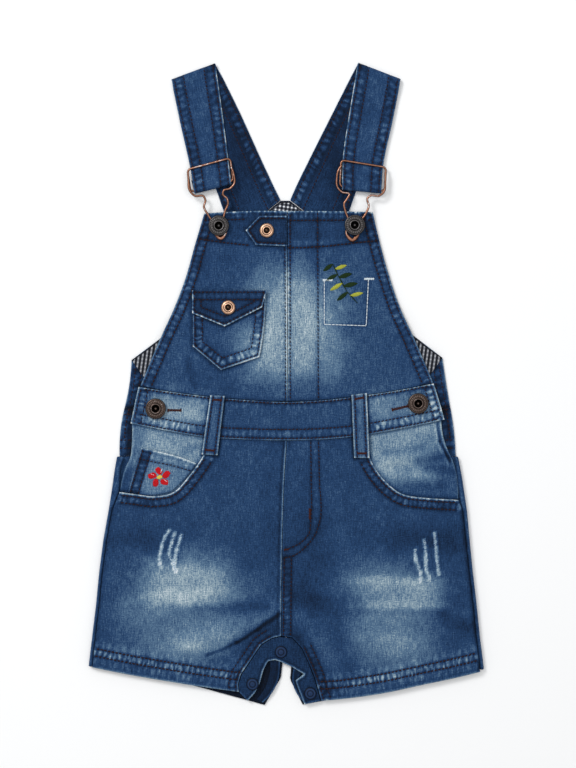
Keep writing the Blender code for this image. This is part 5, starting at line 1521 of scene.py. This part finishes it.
def bib_half(side):
    """One half of the bib; its armhole edge droops to the table above the waist."""
    sign, left, edge = SIDES[side], side == "left", BIB_EDGE[side]
    seam = [(sign * (x + sign * cut("gap") / 2), y) for x, y in BIB_SEAM]
    top_points = outwards((seam[0], (30, 126.2), edge[0]), side)
    waist = sorted((abs(x), y) for x, y in part_of(WAIST_TOP, sign * 1.6, sign * 106, 7))
    down = steps(139)
    plan = patch(curve(seam, side), curve(edge, side), curve(top_points),
                 curve([seam[-1], *waist[1:-1], edge[-1]], side), steps(82), down)
    x, y = plan[..., 0], plan[..., 1]
    top, armhole = spaced(top_points, 30), spaced(outwards(edge, side), 40)
    from_top, from_edge = distance_to(top, plan), distance_to(armhole, plan)
    rise = cut("hem_rise") * np.maximum(fall(from_top, 21.6, 23), fall(from_edge, 7.8, 9.2))
    shade = -0.09 * fall(from_top, 20, 22.5) - 0.03 * fall(from_edge, 7, 9)
    if side == "right":
        rise = np.maximum(rise, LAP_RISE * fall(x, 22.8, 24.2))
        shade = shade - 0.03 * fall(x, 22, 24) * ease(from_top, 24, 30)
    drop = np.interp(down, (0, 0.08, 0.5, 0.66), (1.4, 2.3, 2.3, 0.1))[:, None]
    droop = drop * fall(from_edge, -2, 9)
    rows = [Row(inset(armhole, sign * distance), weight=weight) for distance, weight in ARMHOLE_ROWS]
    bands = [Band(inset(top, sign * 2.8), 2.6, 4.4, 0.14 if left else 0.15), *BIB_BANDS[side],
             Band(inset(armhole, sign * 4.8), 3.2, 4.6, 0.17),
             Band(inset(armhole, sign * 1.0), 1.3, 3.4, 0.12), Band(top, 1.1, 2.9, 0.34)]
    piece = panel(f"bib_{side}", plan, front_under(x, y) - droop, cut("denim") + rise, tone=0.39, tint=shade,
                  under_tone=0.1, seed=191 if left else 201, bands=bands, rows=[*rows, *BIB_ROWS[side]],
                  worn={"top": 0.32, "outer": 0.25, "inner": 0.24 if left else 0.1},
                  shadows=bib_shadows(side))
    if side == "right":
        bar_tacks(piece, "mock_pocket_tacks", MOCK_POCKET_TACKS, "white")
        embroider(piece, "leaf_sprig", SPRIG)


def on_bib(x, y, lift=0.0):
    """Underside of what lies on the bib: the bib's own top and the room between pieces."""
    return front_under(x, y) + cut("denim") + cut("gap") + lift


def bib_tab():
    """Pointed tab set into the bib's middle seam."""
    top, bottom = (line((TAB_POINT, points[:2]), (1.0, points[1:])) for points in (TAB_TOP, TAB_FOOT))
    left, right = (curve((TAB_TOP[end], TAB_FOOT[end])) for end in (0, -1))
    plan = patch(left, right, top, bottom, np.sort(np.append(steps(30, 0.9), TAB_POINT)), steps(22, 0.9))
    under = on_bib(plan[..., 0], plan[..., 1], cut("hem_rise"))
    panel("bib_tab", plan, under, cut("flap"), tone=0.24, wash=0, seed=211,
          worn={"top": 0.43, "bottom": 0.43}, bands=[TAB_BAND], rows=[Row(TAB_ROW)])


def chest_pocket():
    """Patch pocket on the bib, with a pointed foot and a raised hem."""
    foot = line((POCKET_POINT, POCKET_FOOT[:2]), (1.0, POCKET_FOOT[1:]))
    plan = patch(curve(POCKET_LEFT), curve(POCKET_RIGHT), curve((POCKET_LEFT[0], POCKET_RIGHT[0])), foot,
                 np.sort(np.append(steps(53, 1.0), POCKET_POINT)), steps(50, 1.0))
    x, y = plan[..., 0], plan[..., 1]
    from_outline = distance_to((*POCKET_LEFT, *POCKET_FOOT[1:], *POCKET_RIGHT[1::-1]), plan)
    rise = LAP_RISE * fall(from_outline, 6.6, 7.8)
    tint = 0.27 * ease(x, -52, -24) * ease(-y, -58, -30) - 0.03 * fall(from_outline, 6, 8)
    panel("chest_pocket", plan, on_bib(x, y), cut("denim") + rise, tone=0.36, tint=tint, wash=0, seed=221,
          worn={"inner": 0.38, "outer": 0.5, "bottom": 0.52}, bands=[POCKET_BAND], rows=POCKET_ROWS,
          shadows=[Shadow(FLAP_FOOT, 0.2, 1.7)])


def pocket_flap():
    """Pointed flap over the chest pocket."""
    left, right = (curve((FLAP_TOP[end], FLAP_FOOT[end])) for end in (0, -1))
    foot = line((FLAP_POINT, FLAP_FOOT[:2]), (1.0, FLAP_FOOT[1:]))
    plan = patch(left, right, curve(FLAP_TOP), foot, np.sort(np.append(steps(55, 0.95), FLAP_POINT)),
                 steps(20, 0.9))
    under = on_bib(plan[..., 0], plan[..., 1], cut("denim") + LAP_RISE + cut("gap"))
    panel("pocket_flap", plan, under, cut("flap"), tone=0.30, wash=0.15, seed=231,
          worn={"inner": 0.42, "outer": 0.5, "top": 0.1, "bottom": 0.52}, rows=FLAP_ROWS, bands=FLAP_BANDS)


# ---------------------------------------------------------------- embroidery, tacks and rips

def on_face(piece, name, centres, headings, sizes, width, rise, thread):
    """Threads laid on a piece's face at plan places, each in its own plan direction."""
    tree = face_tree(piece)
    centres, headings, sizes = np.array(centres), np.array(headings), np.asarray(sizes, float)
    unit = headings / np.linalg.norm(headings, axis=1, keepdims=True)
    ends = [heights(tree, centres + unit * sizes[:, None] * part) for part in (-0.35, 0, 0.35)]
    on = ~np.isnan(np.array(ends)).any(axis=0)
    slope = (ends[2] - ends[0]) / (0.7 * sizes)
    places = np.column_stack((centres, np.max(ends, axis=0) + 0.06))[on]
    return threads(name, places, np.column_stack((unit, slope))[on], sizes[on], width, rise,
                   thread_material(thread))


def bar_tacks(piece, name, bars, thread, pitch=0.46):
    """Dense bars of zigzag: threads square to each bar's line, from its start to its end."""
    chance = np.random.default_rng(7)
    centres, headings, sizes = [], [], []
    for start, end, width in bars:
        start, run = np.array(start, float), np.subtract(end, start)
        count = max(2, int(np.linalg.norm(run) / pitch))
        for share in (np.arange(count) + 0.5) / count:
            centres.append(start + run * share + chance.uniform(-0.1, 0.1, 2))
            headings.append((-run[1] + 0.12 * run[0], run[0] + 0.12 * run[1]))
            sizes.append(width * chance.uniform(0.88, 1.1))
    return on_face(piece, name, centres, headings, sizes, 0.62, 0.5, thread)


def buttonhole(piece, name, start, end):
    """Keyhole buttonhole: two bars of zigzag beside the slit, closed by a bar at each end."""
    start, end = np.array(start, float), np.array(end, float)
    along = (end - start) / np.linalg.norm(end - start)
    aside = np.array((-along[1], along[0])) * 0.42
    bars = [(start + aside, end + aside, 1.0), (start - aside, end - aside, 1.0),
            (start - aside * 3, start + aside * 3, 1.3), (end - aside * 3, end + aside * 3, 1.3)]
    return bar_tacks(piece, name, bars, "tack")


def embroider(piece, name, leaves):
    """Satin stitch: each leaf is threads laid across its axis, as long as a sine arch of its width."""
    chance = np.random.default_rng(11)
    for thread in sorted({leaf.thread for leaf in leaves}):
        centres, headings, sizes = [], [], []
        for leaf in (leaf for leaf in leaves if leaf.thread == thread):
            start, run = np.array((leaf.x0, leaf.y0)), np.array((leaf.x1 - leaf.x0, leaf.y1 - leaf.y0))
            count = max(3, int(np.hypot(*run) / 0.42))
            for share in (np.arange(count) + 0.5) / count:
                centres.append(start + run * share + chance.uniform(-0.08, 0.08, 2))
                headings.append((-run[1] + 0.35 * run[0], run[0] + 0.35 * run[1]))
                arch = leaf.width * math.sin(math.pi * share) ** 0.7
                sizes.append(max(0.7, arch) * chance.uniform(0.92, 1.08))
        on_face(piece, f"{name}_{thread}", centres, headings, sizes, 0.6, 0.55, thread)


def rips(piece, name, lines):
    """Rips down the leg: short loose pale threads across each line."""
    chance = np.random.default_rng(13)
    centres, headings, sizes = [], [], []
    for points in lines:
        start, end = walk(spaced(points), 0.38)
        for place in (start + end) / 2:
            centres.append(place + chance.normal(0, 0.25, 2))
            angle = chance.normal(0.1, 0.35)
            headings.append((math.cos(angle), math.sin(angle)))
            sizes.append(chance.uniform(0.8, 2.8))
    return on_face(piece, name, centres, headings, sizes, 0.27, 0.22, "torn")


# ---------------------------------------------------------------- straps and hardware

def away_from(start, end, towards):
    """Unit direction square to the line from start to end, on the side of towards."""
    run = np.subtract(end, start)
    normal = np.array((-run[1], run[0])) / np.linalg.norm(run)
    return normal if normal @ towards > 0 else -normal


def strap_foot(side):
    """Fold line at the strap's foot, round which the slide's bottom bar runs, and the way out of it."""
    outer, inner = (np.array(edge[-1], float) for edge in STRAP_FRONT[side])
    down = away_from(outer, inner, np.array((0, -1)))
    shift = down * (STRAP_WRAP + cut("denim") / 2)
    return outer - shift, inner - shift, down


def strap_edges(side):
    """The strap's outer and inner edge, its height at each place, and how many places lie on the back
    and on the front: up the back, a half circle at the shoulder, down the front, a half circle under
    the slide's bottom bar and a short end behind it."""
    denim, step = cut("denim"), cut("step")
    wire_rest = bpy.context.scene.shortalls_metal.wire_rest / MM
    back_share = steps(122, step)
    back_share = np.append(back_share[back_share < 0.985], 1.0)
    back = [smooth(edge, back_share) for edge in STRAP_BACK[side]]
    share = np.linspace(0, 1, int(96 / step))
    front = [smooth(edge, share) for edge in STRAP_FRONT[side]]
    up = away_from(back[0][-1], back[1][-1], np.array((0, 1)))
    tuck = up * (STRAP_FOLD + denim / 2)
    easing = np.clip((back_share - 0.9) / 0.1, 0, 1)[:, None]
    back = [edge - tuck * easing for edge in back]
    easing = np.clip((0.1 - share) / 0.1, 0, 1)[:, None]
    front = [edge - tuck * easing for edge in front]
    foot_outer, foot_inner, down = strap_foot(side)
    easing = np.clip((share - 0.88) / 0.12, 0, 1)[:, None]
    front = [edge + (foot - edge[-1]) * easing for edge, foot in zip(front, (foot_outer, foot_inner))]
    front_rest, fold_top = denim + cut("gap") + denim / 2, denim / 2 + 2 * STRAP_FOLD
    foot_top = wire_rest + STRAP_WRAP
    level = (fold_top + (front_rest - fold_top) * ease(share, 0, 0.2)
             + (foot_top - front_rest) * ease(share, 0.76, 1))
    shoulder = np.radians(np.linspace(-90, 90, SHOULDER_ROWS + 2)[1:-1])[:, None]
    beyond = up * STRAP_FOLD * np.cos(shoulder)
    wrap = np.radians(np.linspace(90, -90, 13)[1:])[:, None]
    under_bar = down * STRAP_WRAP * np.cos(wrap)
    behind = -down * np.array(STRAP_END)[:, None]
    stretches = [
        (back[0], back[1], np.full(len(back_share), denim / 2)),
        (back[0][-1] + beyond, back[1][-1] + beyond, denim / 2 + STRAP_FOLD * (1 + np.sin(shoulder[:, 0]))),
        (front[0], front[1], level),
        (foot_outer + under_bar, foot_inner + under_bar, wire_rest + STRAP_WRAP * np.sin(wrap[:, 0])),
        (foot_outer + behind, foot_inner + behind, np.full(len(behind), wire_rest - STRAP_WRAP)),
    ]
    outer, inner, height = (np.concatenate(parts) for parts in zip(*stretches))
    return outer, inner, height, len(back_share), len(share)


def strap_rows(face, under, across, back_count, front_count):
    """Rows of sewing beside both edges of a strap: on the face of its front and under its back."""
    rows = []
    front_start = back_count + SHOULDER_ROWS
    for distance in STRAP_ROWS:
        for share in (distance / STRAP_WIDTH, 1 - distance / STRAP_WIDTH):
            column = int(np.argmin(np.abs(across - share)))
            rows.append(Row(face[front_start - 6:front_start + front_count + 5:4, column]))
            rows.append(Row(under[2:back_count - 6:4, column]))
    return rows


def strap(side):
    """One strap, from the back over the shoulder to its slide. Rows of its mesh lie across it between
    its two edges, and run is the distance along it."""
    sign, denim = SIDES[side], cut("denim")
    outer, inner, height, back_count, front_count = strap_edges(side)
    across = steps(STRAP_WIDTH, 1.0)[:, None]
    middle = np.array([np.column_stack((o * (1 - across) + i * across, np.full(len(across), h)))
                       for o, i, h in zip(outer, inner, height)])
    middle[..., 0] *= sign
    width = np.linalg.norm(outer - inner, axis=1)[:, None]
    from_outer = across[:, 0][None] * width
    from_inner = width - from_outer
    centre_steps = np.linalg.norm(np.diff(middle[:, len(across) // 2], axis=0), axis=1)
    run = np.concatenate(([0], np.cumsum(centre_steps)))[:, None]
    cloth = np.dstack((from_outer * -sign, np.broadcast_to(run, from_outer.shape)))
    fold_at = run[back_count + SHOULDER_ROWS // 2]
    on_front = ease(run, fold_at - 2, fold_at + 2)
    from_edge = np.minimum(from_outer, from_inner)
    rim = np.minimum(from_edge, np.minimum(run, run[-1] - run))
    seed = 241 if side == "left" else 251
    band = fall(np.abs(from_edge - 4.6), 2.2, 3.4)
    place = run + np.where(from_outer < from_inner, 0.0, 400.0)    # keeps the two edges' noise apart
    pucker = 1.9 * puckers(place, place, from_edge, 5.2, seed) - 0.6
    rope = (1.9 * puckers(place, place, from_edge, 2.9, seed + 30) - 0.6) * bell(from_edge, 1.1)
    relief = (0.16 * band * pucker + 0.12 * rope - 0.16 * bell(from_edge, 0.8, at=2)
              - 0.16 * bell(from_edge, 0.8, at=8) + 0.06 * mottle(run, from_outer, 6, seed + 2))
    half = (denim + relief * ease(rim, 0.2, 1.2)) / 2 * rounded_rim(rim, denim)
    normal = square_to(middle, -sign)
    fray = 0.55 + 0.45 * mottle(place, 0 * from_edge, 3, seed + 3)
    worn_edge = np.where(from_inner < from_outer, 0.7, 0.25) * fray * bell(from_edge, 0.65)
    # stitch is painted shade in the grooves of the two rows; corner is painted shade in the shoulder's fold
    # beside the inner edge
    stitch = bell(from_edge, 1.2, at=2) + bell(from_edge, 1.4, at=8)
    corner = bell(run, 4, at=fold_at) * ease(-from_inner, -8, -1)
    face = (0.38 + 0.03 * mottle(run, from_outer, 8, seed + 4) + 0.03 * mottle(run, from_outer, 3, seed + 5)
            - 0.02 * band + 0.16 * band * pucker + 0.10 * rope + worn_edge - 0.15 * stitch - 0.3 * corner)
    # the back run is painted darker as shade, and lighter towards its start at the back
    back_face = (0.19 + 0.10 * ease(-run, -40, 0) + 0.03 * mottle(run, from_outer, 6, seed + 6)
                 + 0.3 * fray * bell(from_edge, 0.45) + 0.05 * band + 0.2 * band * pucker - 0.09 * stitch)
    tone = np.where(rim < 0.05, np.where(on_front > 0.5, face, back_face), face)
    piece = wall(f"strap_{side}_cloth", middle, half, normal, tone, back_face, cloth, denim_material())
    lift = normal * half[..., None]
    thread = sew(piece, strap_rows(middle + lift, middle - lift, across[:, 0], back_count, front_count), seed)
    declare([f"strap_{side}"])


def tube(name, points, radius, closed, material, tone=0.3, broad=None):
    """Round wire: a ring of twelve places about each point of a level path; open ends are domed.
    Where broad is above 1, the wire is beaten flat and is that much wider than it is thick."""
    points = np.array(points, float)
    if closed:
        heading = np.roll(points, -1, axis=0) - np.roll(points, 1, axis=0)
        size = np.full(len(points), radius)
    else:
        before, after = points[0] - points[1], points[-1] - points[-2]
        before, after = (end / np.linalg.norm(end) for end in (before, after))
        dome = np.radians((88, 65, 40, 18))
        points = np.concatenate((points[0] + before * radius * np.sin(dome)[:, None], points,
                                 points[-1] + after * radius * np.sin(dome[::-1])[:, None]))
        size = np.full(len(points), radius)
        size[:4], size[-4:] = radius * np.cos(dome), radius * np.cos(dome[::-1])
        heading = np.gradient(points, axis=0)
    heading[:, 2] = 0
    heading /= np.linalg.norm(heading, axis=1, keepdims=True)
    aside = np.stack((-heading[:, 1], heading[:, 0], 0 * heading[:, 0]), 1)
    turn = np.radians(np.arange(12) * 30)
    if broad is not None:
        aside *= np.concatenate((np.ones(4), broad, np.ones(4)))[:, None]
    rings = (points[:, None] + size[:, None, None] * (np.cos(turn)[None, :, None] * aside[:, None]
                                                      + np.sin(turn)[None, :, None] * np.array((0, 0, 1.0))))
    grid = np.arange(len(points) * 12).reshape(-1, 12)
    if closed:
        grid = np.vstack((grid, grid[:1]))
    faces = halved(ring_faces(grid))
    if not closed:
        fan = np.arange(1, 11)
        start = np.stack((0 * fan, fan + 1, fan), 1)
        end = np.stack((0 * fan, fan, fan + 1), 1) + grid[-1, 0]
        faces = np.concatenate((faces, start, end))
    shape = rings.reshape(-1, 3)
    # painted highlight along the wire's top and painted shade on its sides, over a random stain
    stain_and_painted_light = (tone + 0.2 * mottle(points[:, 0], points[:, 1], 5, 5)[:, None]
              + 0.5 * np.sin(turn)[None, :] ** 3 - 0.22 * np.cos(turn)[None, :] ** 4).ravel()
    return solid(name, shape, faces, material, stain_and_painted_light)


def rounded(corners, size):
    """Closed outline with each corner taken off by an arc: a curve pulled towards the corner."""
    corners = np.array(corners)
    before, after = (np.roll(corners, step, axis=0) - corners for step in (1, -1))
    before, after = (way * size / np.linalg.norm(way, axis=1, keepdims=True) for way in (before, after))
    share = np.linspace(0, 1, 7)[None, :, None]
    arc = corners[:, None] + before[:, None] * (1 - share) ** 2 + after[:, None] * share ** 2
    straight_on = np.roll(arc[:, 0], -1, axis=0) - arc[:, -1]
    fill = arc[:, -1][:, None] + straight_on[:, None] * np.linspace(0, 1, 12)[None, 1:-1, None]
    return np.concatenate((arc, fill), axis=1).reshape(-1, 2)


def slide(side):
    """Wire rectangle: its top bar lies over the strap and its bottom bar inside the strap's fold."""
    metal = bpy.context.scene.shortalls_metal
    outer, inner, _ = strap_foot(side)
    beyond = (outer - inner) / np.linalg.norm(outer - inner)
    foot = (inner - beyond * 1.9, outer + beyond * 2.6)
    plan = rounded(outwards((*SLIDE_TOP[side], *foot), side), 3.2)
    path = np.column_stack((plan, np.full(len(plan), metal.wire_rest / MM)))
    piece = tube(f"slide_{side}_wire", path, metal.wire / MM / 2, True, metal_material("copper"))
    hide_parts(f"slide_{side}")


def hook(side):
    """Wire hook: it lies on the slide's sides, narrows to a neck and loops round the bib button."""
    metal = bpy.context.scene.shortalls_metal
    plan = spaced(outwards(HOOK[side], side), 150)
    path = np.column_stack((plan, np.full(len(plan), metal.hook_rest / MM)))
    broad = 1 + 0.9 * bell(plan[:, 1], 3.2, at=105.5)
    piece = tube(f"hook_{side}_wire", path, metal.wire / MM / 2, False, metal_material("copper"), broad=broad)
    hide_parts(f"hook_{side}")


def turned(name, node, profile, place, material, count=72):
    """Round piece: a profile from the middle of its top to the middle of its underside, turned about
    its axis; a knurl moves its places up and down by a sine of the angle."""
    turn = np.arange(count) * 2 * np.pi / count
    inner = profile[1:-1]
    radius, height, tone, knurl = (np.array([getattr(p, key) for p in inner])[:, None]
                                   for key in ("radius", "height", "tone", "knurl"))
    wave = np.sign(np.sin(24 * turn)) * np.abs(np.sin(24 * turn)) ** 0.5
    rings = np.stack((place[0] + radius * np.cos(turn), place[1] + radius * np.sin(turn),
                      place[2] + height + knurl * wave), -1)
    tones = np.broadcast_to(tone + 3.0 * knurl * wave, rings.shape[:2])
    poles = np.array([(place[0], place[1], place[2] + profile[k].height) for k in (0, -1)])
    points = np.concatenate((rings.reshape(-1, 3), poles))
    tones = np.concatenate((tones.ravel(), (profile[0].tone, profile[-1].tone)))
    grid = np.arange(len(inner) * count).reshape(-1, count)
    around = np.roll(grid, -1, axis=1)
    quads = np.stack((grid[:-1], grid[1:], around[1:], around[:-1]), -1).reshape(-1, 4)
    top, foot = len(points) - 2, len(points) - 1
    caps = [np.stack((np.full(count, top), grid[0], around[0]), 1),
            np.stack((np.full(count, foot), around[-1], grid[-1]), 1)]
    faces = np.concatenate((halved(quads), *caps))
    piece = solid(name, points, faces, material, tones)
    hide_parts(node)
    return piece


def raised(profile, radius=0.0, height=0.0):
    """The same profile with an amount added to its radii and its heights."""
    return [p._replace(radius=radius + p.radius, height=height + p.height) for p in profile]


def shank_button(node, x, y, seat, shank, metal):
    """Hollow-centred button: cup, rolled inner lip, knurled rim and a shank down to the cloth."""
    size = bpy.context.scene.shortalls_metal.shank_button / MM / 2
    cap = shank + CAP_HEIGHT
    profile = [*raised(SHANK_WELL, height=shank), *raised(SHANK_FACE, height=cap),
               *raised(SHANK_RIM, size, cap), Profile(size - 0.5, shank, 0.15),
               Profile(2.4, shank - 0.05, 0.1), Profile(2.4, 0, 0.1), Profile(0, 0, 0.1)]
    turned(f"{node}_metal", node, profile, (x, y, seat), metal_material(metal))


def ring_button(node, x, y, seat):
    """Small copper ring button with a dark centre hole."""
    size = bpy.context.scene.shortalls_metal.ring_button / MM / 2
    profile = [*RING_FACE, *raised(RING_RIM, size), Profile(0, 0, 0.1)]
    turned(f"{node}_metal", node, profile, (x, y, seat), metal_material("rose"))


def snap(node, x, y, seat):
    """Domed snap cap with a groove round its face."""
    size = bpy.context.scene.shortalls_metal.snap / MM / 2
    profile = [*SNAP_FACE, *raised(SNAP_RIM, size), Profile(0, 0, 0.0)]
    turned(f"{node}_cap", node, profile, (x, y, seat), enamel_material(), 48)


def seat_at(x, y, extra):
    """Top of the front wall at one place, with what lies on it and the room to the next piece."""
    return float(front_under(x, y)) + cut("denim") + cut("gap") + extra


def all_buttons():
    """All buttons and snaps, seated on the cloth that carries them."""
    metal, hem, flap, gap = bpy.context.scene.shortalls_metal, cut("hem_rise"), cut("flap"), cut("gap")
    for side, (x, y) in BIB_BUTTONS.items():
        seat = seat_at(x, y, hem)
        over_hook = metal.hook_rest / MM + metal.wire / MM / 2 + gap - seat
        shank_button(f"bib_button_{side}", x, y, seat, over_hook, "gunmetal")
    for side, (x, y) in SIDE_BUTTONS.items():
        shank_button(f"side_button_{side}", x, y, seat_at(x, y, hem), SIDE_SHANK, "antique")
    ring_button("tab_button", *TAB_BUTTON, seat_at(*TAB_BUTTON, hem + flap + gap))
    ring_button("flap_button", *FLAP_BUTTON, seat_at(*FLAP_BUTTON, cut("denim") + LAP_RISE + flap + 2 * gap))
    for place, (x, y) in SNAPS.items():
        snap(f"snap_{place}", x, y, seat_at(x, y, 0))


# ---------------------------------------------------------------- studio

def studio():
    """Table, lights, room light and camera: a view straight down on the garment."""
    settings = bpy.context.scene.shortalls_studio
    reach = TABLE_REACH
    mesh = bpy.data.meshes.new("table")
    corners = ((-reach, -reach), (reach, -reach), (reach, reach), (-reach, reach))
    mesh.from_pydata([(x, y, TABLE_TOP) for x, y in corners], [], [(0, 1, 2, 3)])
    mesh.materials.append(table_material())
    table = bpy.data.objects.new("table", mesh)
    bpy.context.scene.collection.objects.link(table)
    for name, (place, size) in LAMPS.items():
        data = bpy.data.lights.new(f"{name}_light", "AREA")
        data.size = size
        data.energy = getattr(settings, name)
        lamp = bpy.data.objects.new(f"{name}_light", data)
        lamp.location = place
        lamp.rotation_euler = Vector(place).to_track_quat("Z", "Y").to_euler()
        bpy.context.scene.collection.objects.link(lamp)
    world = bpy.data.worlds.new("room")
    world.use_nodes = True
    light = world.node_tree.nodes["Background"]
    light.inputs["Color"].default_value = (0.97, 0.985, 1.0, 1.0)
    light.inputs["Strength"].default_value = settings.sky
    bpy.context.scene.world = world
    data = bpy.data.cameras.new("camera")
    data.sensor_width = 36
    data.sensor_fit = "AUTO"
    data.lens = settings.lens
    data.clip_start = 0.01
    camera = bpy.data.objects.new("camera", data)
    camera.location = (settings.aside, 0, 0.004 + settings.view_height * settings.lens / data.sensor_width)
    bpy.context.scene.collection.objects.link(camera)
    bpy.context.scene.camera = camera
    bpy.context.scene.view_settings.view_transform = "Standard"


# ---------------------------------------------------------------- operators and panel

class MakeBack(bpy.types.Operator):
    """Make the back above the waist, its waistband and the backs of the legs"""
    bl_idname = "shortalls.back"
    bl_label = "Back"

    def execute(self, context):
        back_bib()
        back_waistband()
        for side in SIDES:
            back_leg(side)
            back_placket(side)
        return {"FINISHED"}


class MakeFacings(bpy.types.Operator):
    """Make the checked facings, the pale pocket facings and the coin pocket"""
    bl_idname = "shortalls.facings"
    bl_label = "Facings"

    def execute(self, context):
        neck_facing()
        for side in SIDES:
            armhole_facing(side)
            pocket_facing(side)
        coin_pocket()
        return {"FINISHED"}


class MakeLegs(bpy.types.Operator):
    """Make the fronts of the legs and the snap placket"""
    bl_idname = "shortalls.legs"
    bl_label = "Legs"

    def execute(self, context):
        for side in SIDES:
            leg_front(side)
        crotch_placket()
        return {"FINISHED"}


class MakeWaistband(bpy.types.Operator):
    """Make the front waistband and its belt loops"""
    bl_idname = "shortalls.waistband"
    bl_label = "Waistband"

    def execute(self, context):
        waistband()
        for side in SIDES:
            belt_loop(side)
        return {"FINISHED"}


class MakeBib(bpy.types.Operator):
    """Make the bib, its tab, the chest pocket and the flap"""
    bl_idname = "shortalls.bib"
    bl_label = "Bib"

    def execute(self, context):
        for side in SIDES:
            bib_half(side)
        bib_tab()
        chest_pocket()
        pocket_flap()
        return {"FINISHED"}


class MakeStraps(bpy.types.Operator):
    """Make the straps with their slides and hooks"""
    bl_idname = "shortalls.straps"
    bl_label = "Straps"

    def execute(self, context):
        for side in SIDES:
            strap(side)
            slide(side)
            hook(side)
        return {"FINISHED"}


class MakeButtons(bpy.types.Operator):
    """Make the buttons and the snap caps"""
    bl_idname = "shortalls.buttons"
    bl_label = "Buttons"

    def execute(self, context):
        all_buttons()
        return {"FINISHED"}


class MakeStudio(bpy.types.Operator):
    """Make the table, the lights and the camera"""
    bl_idname = "shortalls.studio"
    bl_label = "Studio"

    def execute(self, context):
        studio()
        return {"FINISHED"}


OPERATORS = (MakeBack, MakeFacings, MakeLegs, MakeWaistband, MakeBib, MakeStraps, MakeButtons, MakeStudio)


class ShortallsPanel(bpy.types.Panel):
    """Sidebar panel with the sizes, the colours and the pieces"""
    bl_idname = "VIEW3D_PT_shortalls"
    bl_label = "Shortalls"
    bl_space_type = "VIEW_3D"
    bl_region_type = "UI"
    bl_category = "Shortalls"

    def draw(self, context):
        for name, group in SETTINGS.items():
            box = self.layout.box()
            for key in group.__annotations__:
                box.prop(getattr(context.scene, name), key)
        for operator in OPERATORS:
            self.layout.operator(operator.bl_idname)


def register():
    """Register the settings, the operators and the panel."""
    for group in (*SETTINGS.values(), *OPERATORS, ShortallsPanel):
        bpy.utils.register_class(group)
    for name, group in SETTINGS.items():
        setattr(bpy.types.Scene, name, bpy.props.PointerProperty(type=group))


def unregister():
    """Take the settings, the operators and the panel away again."""
    for name in SETTINGS:
        delattr(bpy.types.Scene, name)
    for group in (ShortallsPanel, *reversed(OPERATORS), *SETTINGS.values()):
        bpy.utils.unregister_class(group)


def main():
    """Make everything and write the boxes of the solids and of the dressed part."""
    register()
    for operator in OPERATORS:
        family, name = operator.bl_idname.split(".")
        getattr(getattr(bpy.ops, family), name)()


if __name__ == "__main__":
    main()
